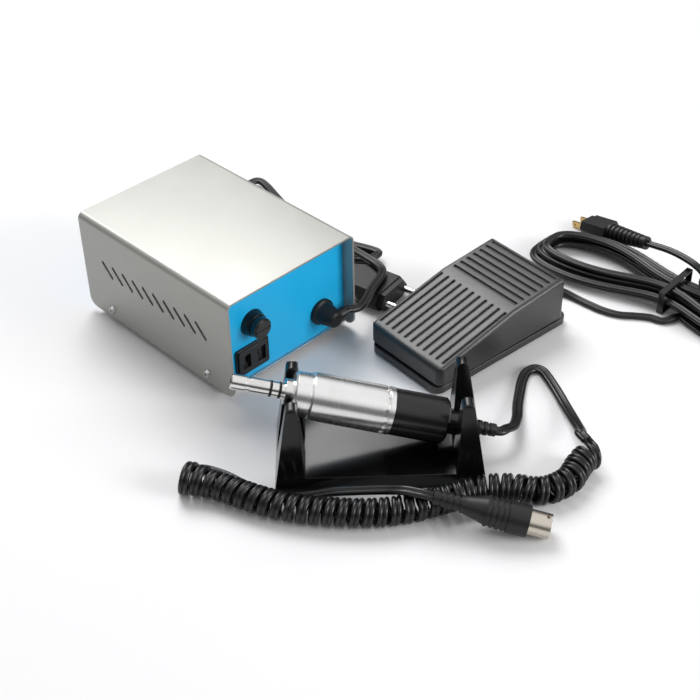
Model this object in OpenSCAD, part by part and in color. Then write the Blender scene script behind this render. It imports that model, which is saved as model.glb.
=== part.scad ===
// Dental laboratory micromotor, in millimetres: a control box, a foot pedal, and a motor handpiece
// that rests on a desk stand, with their cords and plugs. The floor is z = 0. The panel that the
// cords leave the box by faces -Y, and the stand and the handpiece lie in front of it.

/* [Control box] */
// Width of the cover, outside
box_w = 96; // [90:1:120]
// Length of the cover, panel end to panel end
box_l = 133.2; // [125:0.2:180]
// Height of the cover above its own lower edge
box_h = 64.9; // [62:0.1:90]
// Thickness of the cover's and the chassis's sheet metal
sheet = 1.2; // [0.8:0.1:1.6]
// Outside bend radius of the cover
bend_r = 4; // [2.5:0.5:6]
// Radius on the lower corners of the cover's walls
skirt_r = 6; // [3:0.5:8]
// How far the end panels sit inside the cover
panel_recess = 8; // [6:0.5:12]
// Thickness of the end panels
panel_t = 1.6; // [1:0.1:2.5]
// Height of the chassis floor over the cover's lower edge
chassis_lift = 1; // [0.5:0.1:3]
// Height of the chassis's side flanges
flange_h = 14; // [10:1:24]
// Height of the chassis's end flanges
end_flange_h = 4.5; // [3:0.5:5]
// Gap between the cover's lower edge and the table
foot_h = 3.4; // [2:0.1:8]
// Diameter of a rubber foot
foot_d = 12; // [8:0.5:12]
// Distance of a foot from the sides of the box
foot_inset = 7.5; // [7.5:0.5:20]

/* [Vents and cover screws] */
// Number of vent slots in each wall
vent_count = 10; // [4:1:10]
// Distance from one slot to the next
vent_pitch = 9.43; // [6:0.01:9.8]
// Length of a slot
vent_l = 12.8; // [8:0.1:16]
// Width of a slot
vent_w = 2.3; // [1.2:0.1:3]
// Slope of a slot
vent_angle = 46; // [0:1:90]
// Distance of the first slot from the edge by the cords
vent_first = 25; // [18:0.5:26]
// Height of the slots above the cover's lower edge
vent_z = 35.5; // [26:0.1:46]
// Thread diameter of a cover screw
screw_d = 3; // [2.5:0.1:4]
// Diameter of its head
screw_head_d = 5.6; // [5:0.1:8]
// Height of its head
screw_head_h = 1.6; // [1:0.1:2.5]
// Length of its thread
screw_l = 6; // [4:0.5:8]
// Distance of the screws from the ends of the box
screw_inset = 22.6; // [18:0.1:30]
// Height of the screws above the cover's lower edge
screw_z = 6.3; // [5:0.1:9]

/* [Cord panel] */
// Distance of the fuse holder from the vented wall beside it
fuse_x = 23.2; // [20:0.1:34]
// Height of the fuse holder above the cover's lower edge
fuse_z = 38; // [36:0.1:46]
// Diameter of the fuse holder's collar
fuse_base_d = 16.5; // [15:0.1:20]
// Length of the collar
fuse_base_t = 5; // [4:0.1:6]
// Diameter of the holder's barrel
barrel_d = 12; // [11:0.1:13]
// Length of the barrel behind the panel
barrel_l = 27; // [26:0.5:34]
// Diameter of the fuse cap
cap_d = 12.5; // [10:0.1:15]
// Length of the fuse cap
cap_l = 5; // [4:0.1:8]
// Diameter of the cap's stem
stem_d = 8; // [7:0.1:9]
// Length of the stem
stem_l = 7; // [5:0.1:10]
// Diameter of the glass fuse
fuse_d = 5.2; // [5:0.1:6]
// Length of the glass fuse
fuse_l = 20; // [18:0.5:20]
// Distance of the pedal outlet from the vented wall beside it
outlet_x = 21; // [19:0.1:30]
// Height of the pedal outlet above the cover's lower edge
outlet_z = 15.5; // [14.5:0.1:18]
// Width of the outlet's bezel
outlet_w = 24; // [20:0.1:26]
// Height of the outlet's bezel
outlet_h = 18; // [15:0.1:19]
// Thickness of the outlet's bezel
outlet_t = 2.6; // [1.5:0.1:4]
// How far the bezel overlaps its cut-out
bezel_lap = 2; // [1:0.1:3]
// Distance of the cord bush from the vented wall
bush_x = 75.8; // [60:0.1:76]
// Height of the cord bush above the cover's lower edge
bush_z = 17.3; // [14:0.1:24]
// Diameter of the bush's flange
bush_flange_d = 16.5; // [15:0.1:20]
// Thickness of the bush's flange
bush_flange_t = 3; // [2:0.1:4]
// Diameter of the bush's boot
bush_d = 12.5; // [10:0.1:14]
// How far the boot stands out of the panel
bush_l = 14; // [13:0.1:14.6]
// Diameter of the boot's sideways cord exit
bush_exit_d = 7.2; // [6.6:0.1:7.2]
// Length of the cord exit from the boot's axis
bush_exit_l = 9; // [8:0.1:9]

/* [Control panel] */
// Distance of the speed knob from the vented wall
knob_x = 62; // [54:0.5:64]
// Height of the speed knob above the cover's lower edge
knob_z = 41; // [40:0.5:46]
// Diameter of the knob's skirt
knob_d = 28; // [22:0.5:30]
// Height of the knob
knob_l = 13; // [10:0.5:16]
// Travel of the knob, in degrees. It rests at the low end
knob_travel = 300; // [270:5:300]
// Diameter of the control's shaft
pot_shaft_d = 6; // [5:0.1:7]
// Diameter of the control behind the panel
pot_d = 24; // [16:0.5:26]
// Depth of the control behind the panel
pot_l = 10; // [8:0.5:14]
// Distance of the power switch from the vented wall
power_x = 77; // [75:0.5:78]
// Distance of the direction switch from the vented wall
direction_x = 51; // [48:0.5:52]
// Height of both switches above the cover's lower edge
switch_z = 15.5; // [15:0.5:18]
// Width of a switch's bezel
switch_w = 21; // [20:0.1:23]
// Height of a switch's bezel
switch_h = 15; // [14:0.1:16]
// Depth of a switch behind the panel
switch_l = 16; // [14:0.5:20]
// Travel of a rocker, in degrees
rocker_travel = 14; // [8:1:16]
// Distance of the motor socket from the vented wall
socket_x = 24; // [16:0.5:30]
// Height of the motor socket above the cover's lower edge
socket_z = 19; // [16:0.5:26]
// Distance of the lamp from the vented wall
lamp_x = 24; // [16:0.5:30]
// Height of the lamp above the cover's lower edge
lamp_z = 46; // [42:0.5:52]
// Diameter of the lamp's lens
lamp_d = 6; // [4:0.1:8]

/* [Inside the box] */
// Width of the transformer's core
core_w = 54; // [50:1:56]
// Height of the transformer's core
core_h = 45; // [40:1:50]
// Thickness of the lamination stack
core_t = 28; // [20:1:32]
// Width of the core's centre leg
core_leg = 18; // [16:1:20]
// How far the winding stands out of the core
coil_bulge = 9; // [6:0.5:11]
// Distance of the transformer's middle from the vented wall
core_x = 31; // [30.5:0.5:33]
// Width of the circuit board
board_w = 28; // [24:1:30]
// Length of the circuit board
board_l = 64; // [56:1:70]
// Thickness of the circuit board
board_t = 1.6; // [1:0.1:2]
// Distance of the board's middle from the far wall
board_inset = 18; // [17.5:0.5:19]
// Height of the posts below the board
post_h = 6; // [4:0.5:12]

/* [Foot pedal] */
// Length of the pedal's base
pedal_l = 107; // [104:1:120]
// Width of the pedal's base
pedal_w = 58; // [54:1:70]
// Corner radius of the base
pedal_r = 6; // [3:0.5:10]
// Height of the pedal's feet
pedal_foot_h = 1.2; // [0.8:0.1:3]
// Thickness of the base plate
base_t = 4.4; // [3:0.1:6]
// Base's length beyond the treadle's
base_extra = 6; // [5:0.5:9]
// Width of the treadle
treadle_w = 60; // [56:1:72]
// Corner radius of the treadle in plan
treadle_r = 4.5; // [3:0.5:8]
// Wall of the treadle
treadle_wall = 2.2; // [1.6:0.1:3]
// Height of the treadle's crease above the table
crease_z = 32.5; // [31:0.5:36]
// Distance of the crease from the treadle's low end
crease_x = 57.5; // [50:0.5:60]
// Slope of the front face
front_slope = 13; // [10:0.5:14]
// Slope of the back face
back_slope = 5; // [3:0.5:7]
// Gap between base and treadle at the low end
gap_low = 2; // [1.6:0.1:4]
// Gap between base and treadle at the high end
gap_high = 2.8; // [2.7:0.1:5]
// Distance from one rib groove to the next
groove_pitch = 5.3; // [4.5:0.1:6]
// Width of a rib groove
groove_w = 1.8; // [1:0.1:2.4]
// Depth of a rib groove
groove_t = 1.2; // [0.6:0.1:1.4]
// Number of long grooves on the front face
front_grooves = 11; // [5:1:11]
// Number of cross grooves on the back face
back_grooves = 7; // [3:1:7]
// Half length of a cross groove
groove_half = 26.2; // [18:0.1:27]
// Rounding of the treadle's long upper edges
treadle_edge = 2.5; // [1:0.1:3]
// Rounding of its upper edge at the low end
low_round = 4; // [2:0.5:6]
// Rounding of its upper edge at the high end
high_round = 6; // [3:0.5:8]
// Diameter of the hinge pin
hinge_d = 3; // [2.5:0.1:4]
// Distance of the hinge pin from the treadle's low end
hinge_x = 7; // [6:0.5:10]
// Height of the hinge pin above the base plate
hinge_h = 5; // [4.5:0.1:6]
// Distance of the hinge ears from the pedal's middle line
ear_y = 17.5; // [14:0.5:19]
// Thickness of a hinge ear
ear_t = 3.5; // [2.5:0.1:4]
// Outside diameter of the return spring
spring_d = 12; // [9:0.5:14]
// Wire diameter of the return spring
spring_wire = 1.3; // [1:0.1:1.6]
// Number of its curls
spring_turns = 7; // [4:1:8]
// Length of the microswitch
micro_l = 20; // [18:0.5:21]
// Width of the microswitch
micro_w = 6.4; // [6:0.1:8]
// Height of the microswitch
micro_h = 10.2; // [9:0.1:12]
// Diameter of the pedal's cord gland
gland_d = 7; // [6.6:0.1:8]
// Length of the gland
gland_l = 6.5; // [4:0.5:10]

/* [Stand] */
// Length of the stand
stand_l = 111; // [109:1:113]
// Width of the stand at the table
stand_w = 55; // [50:1:64]
// Height of the end walls
stand_h = 50; // [48:0.5:52]
// Thickness of the base plate
stand_plate = 8.4; // [5:0.1:9]
// How far the outer face of an end wall leans in
stand_lean = 7.2; // [6:0.1:8]
// Thickness of an end wall at its top
stand_wall = 6.4; // [5:0.1:6.6]
// Thickness of an end wall at the base plate
stand_wall_foot = 14.8; // [12:0.1:16]
// How much narrower the stand is at its top, on each side
stand_taper = 6.75; // [4:0.1:7]
// Half width of a notch at the base plate
notch_foot = 4.6; // [4.5:0.05:5]
// Half width of a notch at the top
notch_top = 13.7; // [13.5:0.05:14]
// Radius on the prongs' tips
prong_r = 2; // [1:0.1:2.4]

/* [Handpiece] */
// Length of the coupling nose ahead of the motor
nose_l = 32.5; // [30:0.5:36]
// Diameter of the coupling nose
nose_d = 8.4; // [8:0.05:8.6]
// Bore of the coupling nose
nose_bore = 5.2; // [4.8:0.1:5.6]
// Diameter of the flange at the nose's root
nose_flange_d = 14; // [12:0.1:16]
// Thickness of that flange
nose_flange_t = 4.2; // [3:0.1:5]
// Section of the two O-rings
oring_t = 1.3; // [1:0.1:1.6]
// Distance from the nose's tip to the first O-ring
oring_first = 20.2; // [18:0.1:21]
// Distance between the O-rings
oring_gap = 4.9; // [3:0.1:5]
// Diameter of the front ring
ring_d = 23.6; // [23:0.1:24]
// Length of the front ring
ring_l = 9.2; // [8.5:0.1:10]
// Diameter of the motor sleeve
sleeve_d = 25.6; // [25:0.1:27]
// Length from the motor's front face to the end of the metal sleeve
sleeve_end = 53; // [52:0.5:54]
// Wall of the motor sleeve
sleeve_wall = 1.5; // [1:0.1:2]
// Diameter of the rear sleeve
rear_d = 25; // [24:0.1:25.6]
// Gap along the table between the rear sleeve and the stand's far wall
rear_gap = 2.33; // [1:0.01:4]
// Diameter of the neck behind the rear sleeve
neck_d = 13; // [12:0.1:13]
// Length of the neck
neck_l = 8; // [7:0.5:9]
// Diameter of the strain relief at the neck
relief_d = 9.6; // [9:0.1:10.4]
// Diameter of the strain relief at the cord
relief_tip_d = 7; // [6.8:0.1:8]
// Length of the strain relief
relief_l = 20; // [17:0.5:23]
// Number of ribs on the strain relief
relief_ribs = 6; // [3:1:6]
// Diameter of the rotor's shaft
shaft_d = 3; // [2.5:0.1:3.5]
// Outside diameter of a shaft bearing
bearing_d = 10; // [9:0.1:11]
// Width of a shaft bearing
bearing_w = 4; // [3:0.1:4]
// Outside diameter of the armature
armature_d = 17; // [15:0.1:17.4]
// Length of the armature
armature_l = 26; // [22:0.5:28]
// Diameter of the commutator
commutator_d = 8; // [7:0.1:9]
// Length of the commutator
commutator_l = 7; // [6:0.1:8]

/* [Plugs] */
// Diameter of the motor plug's metal shell
shell_d = 13.2; // [13:0.1:13.4]
// How far the shell stands out of the boot
shell_l = 11; // [9:0.1:13]
// Diameter of the motor plug's boot
boot_d = 16.5; // [16:0.1:17]
// Length of the boot without its strain relief
boot_l = 22; // [20:0.5:24]
// Diameter of the boot's strain relief
boot_relief_d = 9.4; // [8.6:0.1:10]
// Length of the boot's strain relief
boot_relief_l = 27; // [24:0.5:30]
// Diameter of a contact pin of the motor plug
contact_d = 1.5; // [1.2:0.1:1.6]
// Width of the mains plug
euro_w = 32.6; // [31:0.1:36]
// Thickness of the mains plug
euro_t = 13; // [12:0.1:13.8]
// How much narrower its flat faces are than its middle
euro_slant = 9.8; // [6:0.2:12]
// Width of its nose
euro_nose_w = 28; // [26:0.1:30]
// Length of its nose
euro_nose_l = 3.6; // [2:0.1:6]
// Length of its strain relief
euro_relief_l = 10; // [8:0.5:14]
// Length of the mains plug without its pins
euro_l = 36; // [34:0.5:37]
// Diameter of a mains pin
euro_pin_d = 4; // [3.8:0.1:4.2]
// Length of a mains pin
euro_pin_l = 19; // [18:0.1:19.5]
// Distance between the mains pins
euro_pitch = 18.8; // [17.5:0.1:19]
// Width of the pedal plug
blade_plug_w = 17; // [16:0.5:18]
// Height of the pedal plug
blade_plug_t = 10.6; // [10:0.1:11]
// Length of the pedal plug's body
blade_plug_l = 20.5; // [19:0.5:22]
// Diameter of its ribbed strain relief at the body
blade_relief_d = 12; // [10:0.2:12.4]
// Length of its ribbed strain relief
blade_relief_l = 30; // [26:0.5:32]
// Distance between the two blades
blade_pitch = 7.6; // [7:0.1:10]
// Length of a blade
blade_l = 9; // [8:0.5:12]

/* [Cords] */
// Width of the flat handpiece lead
lead_w = 6.2; // [5.6:0.1:6.2]
// Thickness of the flat handpiece lead
lead_t = 3.1; // [2.6:0.1:3.1]
// Outside diameter of the curly cord
curl_d = 15.5; // [14.6:0.1:15.6]
// Width of the cord in a curl
curl_w = 5.3; // [4.4:0.1:5.4]
// Number of whole curls, and half a curl is added to them
curl_turns = 35; // [28:1:36]
// Growth of the last curls' radius
curl_flare = 1.2; // [0:0.1:1.6]
// Width of the flat mains cord
mains_w = 5.6; // [5:0.1:5.7]
// Thickness of the flat mains cord
mains_t = 3.4; // [3:0.1:3.5]
// Width of the flat pedal cord
pcord_w = 5.2; // [4.6:0.1:5.3]
// Thickness of the flat pedal cord
pcord_t = 2.8; // [2.4:0.1:2.9]
// Thickness of the wire ties
tie_t = 0.6; // [0.5:0.1:1]
// Width of the wire ties
tie_w = 4; // [2:0.1:6]

/* [Hidden] */
// Round shapes are drawn with 64 sides
$fn = 64;

// Fits and running clearances
fit = 0.1;
shaft_fit = 0.03;
slide_fit = 0.3;
eps = 0.01;

hinge_fit = 0.06;
lever_gap = 0.35;

// Throats behind the panels, and how far a switch's bezel overlaps its cut-out
bush_throat_d = 9;
pot_bush_d = 9;
socket_d = 16;
switch_lap = 1.2;

// Where the box, the pedal and the stand are put down on the table
box_x = -35.2;
box_y = 67.1;
pedal_x = 55.4;
pedal_y = -53.2;
pedal_yaw = -4.9;
stand_x = -115.4;
stand_y = -67.8;
stand_yaw = -43.6;

// The handpiece's front face in the stand's own frame, its axis's height at the far wall, and how far
// its nose is tipped up
hand_x = 10.6;
hand_z = 44.8;
neck_z = 20.578;
hand_run = stand_l - stand_wall_foot - hand_x;
hand_tilt = atan((hand_z - neck_z) / hand_run);
rear_end = (hand_run - rear_gap - rear_d / 2 * sin(hand_tilt)) / cos(hand_tilt);
neck_end = rear_end + neck_l;
relief_end = neck_end + relief_l;

// Heights inside the box, above the cover's lower edge
floor_top = chassis_lift + sheet;
inner_w = box_w - 2 * sheet;
inner_top = box_h - sheet;
panel_in = panel_recess + panel_t;
board_z = floor_top + post_h;
core_y = box_l / 2 + 4;
core_window = core_h - core_leg;
window_w = (core_w - 2 * core_leg) / 2;
board_x = box_w - board_inset;
board_y = box_l / 2 - 2;
exit_y = panel_recess - bush_l + bush_exit_d / 2;

// Places along the pedal
base_top = pedal_foot_h + base_t;
treadle_l = pedal_l - base_extra;
low_x = -pedal_l / 2 + 1;
crease_at = low_x + crease_x;
high_x = low_x + treadle_l;
low_top = crease_z - crease_x * tan(front_slope);
high_top = crease_z + (treadle_l - crease_x) * tan(back_slope);
pin_x = low_x + hinge_x;
pin_z = base_top + hinge_h;
micro_x = crease_at + 2;
spring_x = 0.35 * (micro_x + micro_l / 2) + 0.65 * high_x - 4.975;
spring_top = crease_z + (spring_x - crease_at) * tan(back_slope)
    - treadle_wall / cos(back_slope) - (spring_d / 2 + 1) * tan(back_slope);
micro_z = base_top + 7.8;
lever_l = 15;
lever_tip = 1.8;
lever_x = micro_x - micro_l / 2 + 3;
lever_rise = 2.3;
lever_z = micro_z + micro_h + lever_rise;
plunger_d = 3;
plunger_at = lever_x + lever_l - lever_tip;
lever_ratio = (plunger_at - plunger_d / 2 - pin_x) / (plunger_at - plunger_d / 2 - lever_x);
gland_z = gland_d / 2 + 0.6;

// The coupling nose, the shaft and its bearings, along the handpiece
bearing_seat = ring_l - bearing_w;
armature_at = 18;
commutator_at = armature_at + armature_l + 4;
endbell_at = commutator_at + commutator_l + 1.5;
endbell_l = 8;
magnet_d = sleeve_d - 2 * sleeve_wall;
magnet_t = 2.2;

// The mains plug, the motor plug and the pedal plug, by their faces and headings
euro_at = [47.6, 1.3];
euro_yaw = -80;
din_at = [-40.8, -190.3, 6.8];
din_yaw = -56.2;
din_tilt = 10.4;
blade_yaw = 84.7;
blade_tilt = 12;
blade_h = 4;
blade_at = [194.6, -33.3, blade_l * sin(blade_tilt) + blade_h / 2 + fit];

// Frames: each sub-part is written in the frame of what carries it

// x from the vented wall on the left, y from the edge by the cords, z from the cover's lower edge
module box_frame() translate([box_x - box_w / 2, box_y - box_l / 2, foot_h]) children();

// A place on the cord panel, with +Z pointing out of the box
module on_cord_panel(x, z) box_frame() translate([x, panel_recess, z]) rotate([90, 0, 0]) children();

// A place on the control panel, with +Z pointing out of the box
module on_control_panel(x, z)
    box_frame() translate([x, box_l - panel_recess, z]) rotate([-90, 0, 0]) children();

// x along the pedal from its middle, y across it, z above the table
module pedal_frame() translate([pedal_x, pedal_y, 0]) rotate(pedal_yaw) children();

// x along the stand from its near left corner, y across it
module stand_frame() translate([stand_x, stand_y, 0]) rotate(stand_yaw) children();

// z along the handpiece from its front face to its cord
module hand_frame()
    stand_frame() translate([hand_x, stand_w / 2, hand_z]) rotate([0, 90 + hand_tilt, 0]) children();

// z along the motor plug, out of its mouth
module din_frame()
    translate(din_at) rotate(din_yaw) rotate([0, 90 + din_tilt, 0]) children();

// x along the mains plug, out of its face, z = 0 at its middle
module euro_frame()
    translate([euro_at[0], euro_at[1], euro_t / 2 + fit]) rotate(euro_yaw) children();

// x along the pedal plug, out of its face. Its nose dips, and its blades' corners touch the table
module blade_frame() translate(blade_at) rotate([0, blade_tilt, blade_yaw]) children();

// Shapes that repeat

// A rectangle with its two upper corners round, from x = 0 and y = 0
module arch(w, h, r) {
    square([w, h - r]);
    translate([r, h - r]) square([w - 2 * r, r]);
    for (x = [r, w - r])
        translate([x, h - r]) circle(r);
}

// A rectangle with round corners, about the middle
module round_rect(w, h, r) {
    square([w - 2 * r, h], center = true);
    square([w, h - 2 * r], center = true);
    for (x = [-1, 1], y = [-1, 1])
        translate([x * (w / 2 - r), y * (h / 2 - r)]) circle(r);
}

// Points of an arc of radius r that rounds the corner b between a and c
function rounded(a, b, c, r) =
    let (u = unit(a - b), v = unit(c - b), half = acos(u * v) / 2, m = b + unit(u + v) * (r / sin(half)),
        p = b + u * (r / tan(half)) - m, q = b + v * (r / tan(half)) - m)
    [for (k = [0:8]) m + r * unit(p * (8 - k) + q * k)];

// A slot of length l along x and width w, h deep from z = 0
module slot(l, w, h) {
    translate([-(l - w) / 2, -w / 2, 0]) cube([l - w, w, h]);
    for (x = [-1, 1])
        translate([x * (l - w) / 2, 0, 0]) cylinder(d = w, h = h);
}

// A washer from z = 0
module washer(od, id, h) difference() {
    cylinder(d = od, h = h);
    translate([0, 0, -1]) cylinder(d = id, h = h + 2);
}

// Tapered strain relief from z = 0, with raised ribs on a slimmer core
module ribbed_relief(d0, d1, l, ribs) {
    groove = 0.8;
    pitch = l / ribs;
    cylinder(d1 = d0 - 2 * groove, d2 = d1 - 2 * groove, h = l);
    for (i = [0:ribs - 1])
        translate([0, 0, i * pitch])
            cylinder(d = d0 + (d1 - d0) * i / (ribs - 1), h = pitch * 0.6);
    translate([0, 0, l - pitch * 0.4]) cylinder(d = d1, h = pitch * 0.4);
}

// Control box

module case_cover() color([0.80, 0.80, 0.78]) box_frame() difference() {
    translate([0, box_l, 0]) rotate([90, 0, 0]) linear_extrude(box_l) arch(box_w, box_h, bend_r);
    translate([sheet, box_l + 1, -1]) rotate([90, 0, 0])
        linear_extrude(box_l + 2) arch(inner_w, inner_top + 1, bend_r - sheet);
    for (y = [0, 1])
        translate([-1, y * box_l, 0]) mirror([0, y, 0]) difference() {
            translate([0, -1, -1]) cube([box_w + 2, skirt_r + 1, skirt_r + 1]);
            translate([-1, skirt_r, skirt_r]) rotate([0, 90, 0])
                cylinder(r = skirt_r, h = box_w + 4);
        }
    for (i = [0:vent_count - 1])
        translate([-1, vent_first + i * vent_pitch, vent_z]) rotate([vent_angle, 0, 0])
            rotate([0, 90, 0]) rotate(90) slot(vent_l, vent_w, box_w + 2);
    for (y = [screw_inset, box_l - screw_inset])
        translate([-1, y, screw_z]) rotate([0, 90, 0])
            cylinder(d = screw_d + 2 * fit, h = box_w + 2);
}

module chassis() color([0.62, 0.63, 0.64]) box_frame() {
    lip = 2;
    post_d = 6;
    inside_l = box_l - 2 * panel_in;
    difference() {
        union() {
            translate([sheet, panel_recess - lip, chassis_lift])
                cube([inner_w, box_l - 2 * (panel_recess - lip), sheet]);
            for (x = [sheet, box_w - 2 * sheet])
                translate([x, panel_in, chassis_lift]) cube([sheet, inside_l, flange_h]);
            for (y = [panel_in, box_l - panel_in - sheet])
                translate([sheet, y, chassis_lift]) cube([inner_w, sheet, sheet + end_flange_h]);
        }
        for (y = [screw_inset, box_l - screw_inset])
            translate([-1, y, screw_z]) rotate([0, 90, 0])
                cylinder(d = screw_d + 2 * fit, h = box_w + 2);
    }
    for (x = [-1, 1], y = [-1, 1])
        translate([board_x + x * (board_w / 2 - 4), board_y + y * (board_l / 2 - 4), floor_top])
            cylinder(d = post_d, h = post_h);
}

// The blue end panels: x is the width and y the height of the sheet here
module panel_blank()
    translate([sheet + fit, floor_top, -panel_t])
        linear_extrude(panel_t) arch(inner_w - 2 * fit, inner_top - floor_top - fit, bend_r - sheet);

module rear_panel() color([0.16, 0.62, 0.84]) on_cord_panel(0, 0) difference() {
    panel_blank();
    translate([0, 0, -panel_t - 1]) {
        translate([fuse_x, fuse_z]) cylinder(d = barrel_d + 2 * fit, h = panel_t + 2);
        translate([bush_x, bush_z]) cylinder(d = bush_throat_d + 2 * fit, h = panel_t + 2);
        translate([outlet_x, outlet_z, 0]) linear_extrude(panel_t + 2)
            square([outlet_w - 2 * bezel_lap + 2 * fit, outlet_h - 2 * bezel_lap + 2 * fit], center = true);
    }
}

module front_panel() color([0.16, 0.62, 0.84]) on_control_panel(0, 0) mirror([0, 1, 0]) difference() {
    panel_blank();
    translate([0, 0, -panel_t - 1]) {
        translate([knob_x, knob_z]) cylinder(d = pot_bush_d + 2 * fit, h = panel_t + 2);
        translate([socket_x, socket_z]) cylinder(d = socket_d + 2 * fit, h = panel_t + 2);
        translate([lamp_x, lamp_z]) cylinder(d = lamp_d + 2 * fit, h = panel_t + 2);
        for (x = [power_x, direction_x])
            translate([x, switch_z, 0]) linear_extrude(panel_t + 2)
                square([switch_w - 2 * switch_lap + 2 * fit, switch_h - 2 * switch_lap + 2 * fit],
                    center = true);
    }
}

module cover_screws() color([0.72, 0.72, 0.70]) box_frame()
    for (side = [0, 1], y = [screw_inset, box_l - screw_inset])
        translate([side * box_w, y, screw_z]) mirror([side, 0, 0]) rotate([0, 90, 0]) {
            cylinder(d = screw_d, h = screw_l);
            translate([0, 0, -screw_head_h]) difference() {
                cylinder(d1 = screw_head_d - 1.6, d2 = screw_head_d, h = screw_head_h);
                for (a = [0, 90])
                    rotate(a) translate([-1.4, -0.3, -1]) cube([2.8, 0.6, 1.8]);
            }
        }

module box_feet() color([0.80, 0.80, 0.80]) box_frame()
    for (x = [foot_inset, box_w - foot_inset], y = [foot_inset + 6, box_l - foot_inset - 6])
        translate([x, y, -foot_h])
            cylinder(d1 = foot_d - 1.5, d2 = foot_d, h = foot_h + chassis_lift);

// Inside the box

module transformer_core() color([0.30, 0.29, 0.28]) box_frame()
    translate([core_x, core_y + core_t / 2, floor_top]) rotate([90, 0, 0]) linear_extrude(core_t)
        difference() {
            translate([-core_w / 2, 0]) square([core_w, core_h]);
            for (x = [-1, 1])
                translate([x * (core_leg + window_w) / 2 - window_w / 2, core_leg / 2])
                    square([window_w, core_window]);
        }

module transformer_coil() color([0.80, 0.62, 0.20]) box_frame()
    translate([core_x, core_y, floor_top + core_leg / 2 + fit]) difference() {
        linear_extrude(core_window - 2 * fit)
            round_rect(core_leg + 2 * window_w - 2 * fit, core_t + 2 * coil_bulge, 3);
        translate([-core_leg / 2 - fit, -core_t / 2 - fit, -1])
            cube([core_leg + 2 * fit, core_t + 2 * fit, core_h]);
    }

module circuit_board() color([0.10, 0.38, 0.20]) box_frame() translate([board_x, board_y, board_z]) {
    translate([-board_w / 2, -board_l / 2, 0]) cube([board_w, board_l, board_t]);
    translate([-4, -18, board_t]) cylinder(d = 16, h = 25);
    translate([5, 2, board_t]) cylinder(d = 10, h = 16);
    translate([-11, 10, board_t]) cube([22, 3, 26]);
    for (x = [-6, 6])
        translate([x, 14.5, board_t]) cube([4, 3.5, 16], center = false);
    translate([-9, 22, board_t]) cube([18, 8, 10]);
    translate([-11, -4, board_t]) cube([10, 8, 4]);
}

// Cord panel pieces

module fuse_holder() color([0.06, 0.06, 0.06]) on_cord_panel(fuse_x, fuse_z) {
    difference() {
        union() {
            cylinder(d1 = fuse_base_d, d2 = cap_d + 1.2, h = fuse_base_t);
            translate([0, 0, -panel_t - barrel_l])
                cylinder(d = barrel_d, h = panel_t + barrel_l + eps);
            translate([0, 0, -panel_t - 3]) cylinder(d = 17, h = 3, $fn = 6);
        }
        translate([0, 0, -panel_t - barrel_l + 1.5])
            cylinder(d = stem_d + 2 * fit, h = barrel_l + panel_t + fuse_base_t);
    }
    translate([-2.4, -0.4, -panel_t - barrel_l - 6]) cube([4.8, 0.8, 6]);
}

module fuse_cap() color([0.05, 0.05, 0.05]) on_cord_panel(fuse_x, fuse_z)
    translate([0, 0, fuse_base_t]) difference() {
        union() {
            cylinder(d = cap_d, h = cap_l - 1);
            translate([0, 0, cap_l - 1]) cylinder(d1 = cap_d, d2 = cap_d - 2, h = 1);
            translate([0, 0, -stem_l]) cylinder(d = stem_d, h = stem_l);
        }
        translate([0, 0, -stem_l - 1]) cylinder(d = fuse_d, h = stem_l);
        translate([-cap_d / 2 - 1, -0.8, cap_l - 1.2]) cube([cap_d + 2, 1.6, 2]);
    }

module fuse() color([0.85, 0.88, 0.90]) on_cord_panel(fuse_x, fuse_z)
    translate([0, 0, fuse_base_t - 1 - fuse_l]) cylinder(d = fuse_d, h = fuse_l);

module pedal_outlet() color([0.06, 0.06, 0.06]) on_cord_panel(outlet_x, outlet_z) difference() {
    body_w = outlet_w - 2 * bezel_lap;
    body_h = outlet_h - 2 * bezel_lap;
    union() {
        linear_extrude(outlet_t - 1) round_rect(outlet_w, outlet_h, 1.5);
        translate([0, 0, outlet_t - 1]) linear_extrude(1) round_rect(outlet_w - 2, outlet_h - 2, 1.5);
        translate([-body_w / 2, -body_h / 2, -panel_t - 14]) cube([body_w, body_h, panel_t + 14]);
    }
    for (x = [-1, 1]) {
        translate([x * blade_pitch / 2, 0, -blade_l - 1]) linear_extrude(blade_l + 9)
            square([2.1, blade_h + 0.6], center = true);
        translate([x * 5.6, 0, outlet_t - 2]) linear_extrude(3) square([6, 9.6], center = true);
    }
}

module cord_bush() color([0.07, 0.07, 0.07]) on_cord_panel(bush_x, bush_z) {
    cylinder(d = bush_flange_d, h = bush_flange_t - 1);
    translate([0, 0, bush_flange_t - 1])
        cylinder(d1 = bush_flange_d, d2 = bush_flange_d - 2, h = 1);
    cylinder(d1 = bush_flange_d - 1, d2 = bush_d - 2.6, h = bush_l - 1);
    translate([0, 0, bush_l - 1]) cylinder(d1 = bush_d - 2.6, d2 = bush_d - 4.6, h = 1);
    translate([0, 0, bush_l - bush_exit_d / 2]) rotate([0, 90, 0])
        cylinder(d = bush_exit_d, h = bush_exit_l);
    translate([0, 0, -panel_t - 8]) cylinder(d = bush_throat_d, h = panel_t + 8);
    translate([0, 0, -panel_t - 3]) cylinder(d = 15, h = 3, $fn = 6);
}

// Control panel pieces: this side of the box is not in the photograph

module speed_pot() color([0.55, 0.56, 0.58]) on_control_panel(knob_x, knob_z) difference() {
    union() {
        translate([0, 0, -panel_t - pot_l]) cylinder(d = pot_d, h = pot_l);
        translate([0, 0, -panel_t - eps]) cylinder(d = pot_bush_d, h = panel_t + 3.2);
        cylinder(d = 14, h = 2, $fn = 6);
    }
    translate([0, 0, -panel_t - pot_l + 2])
        cylinder(d = pot_shaft_d + 2 * shaft_fit, h = pot_l + panel_t + 4);
}

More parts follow.
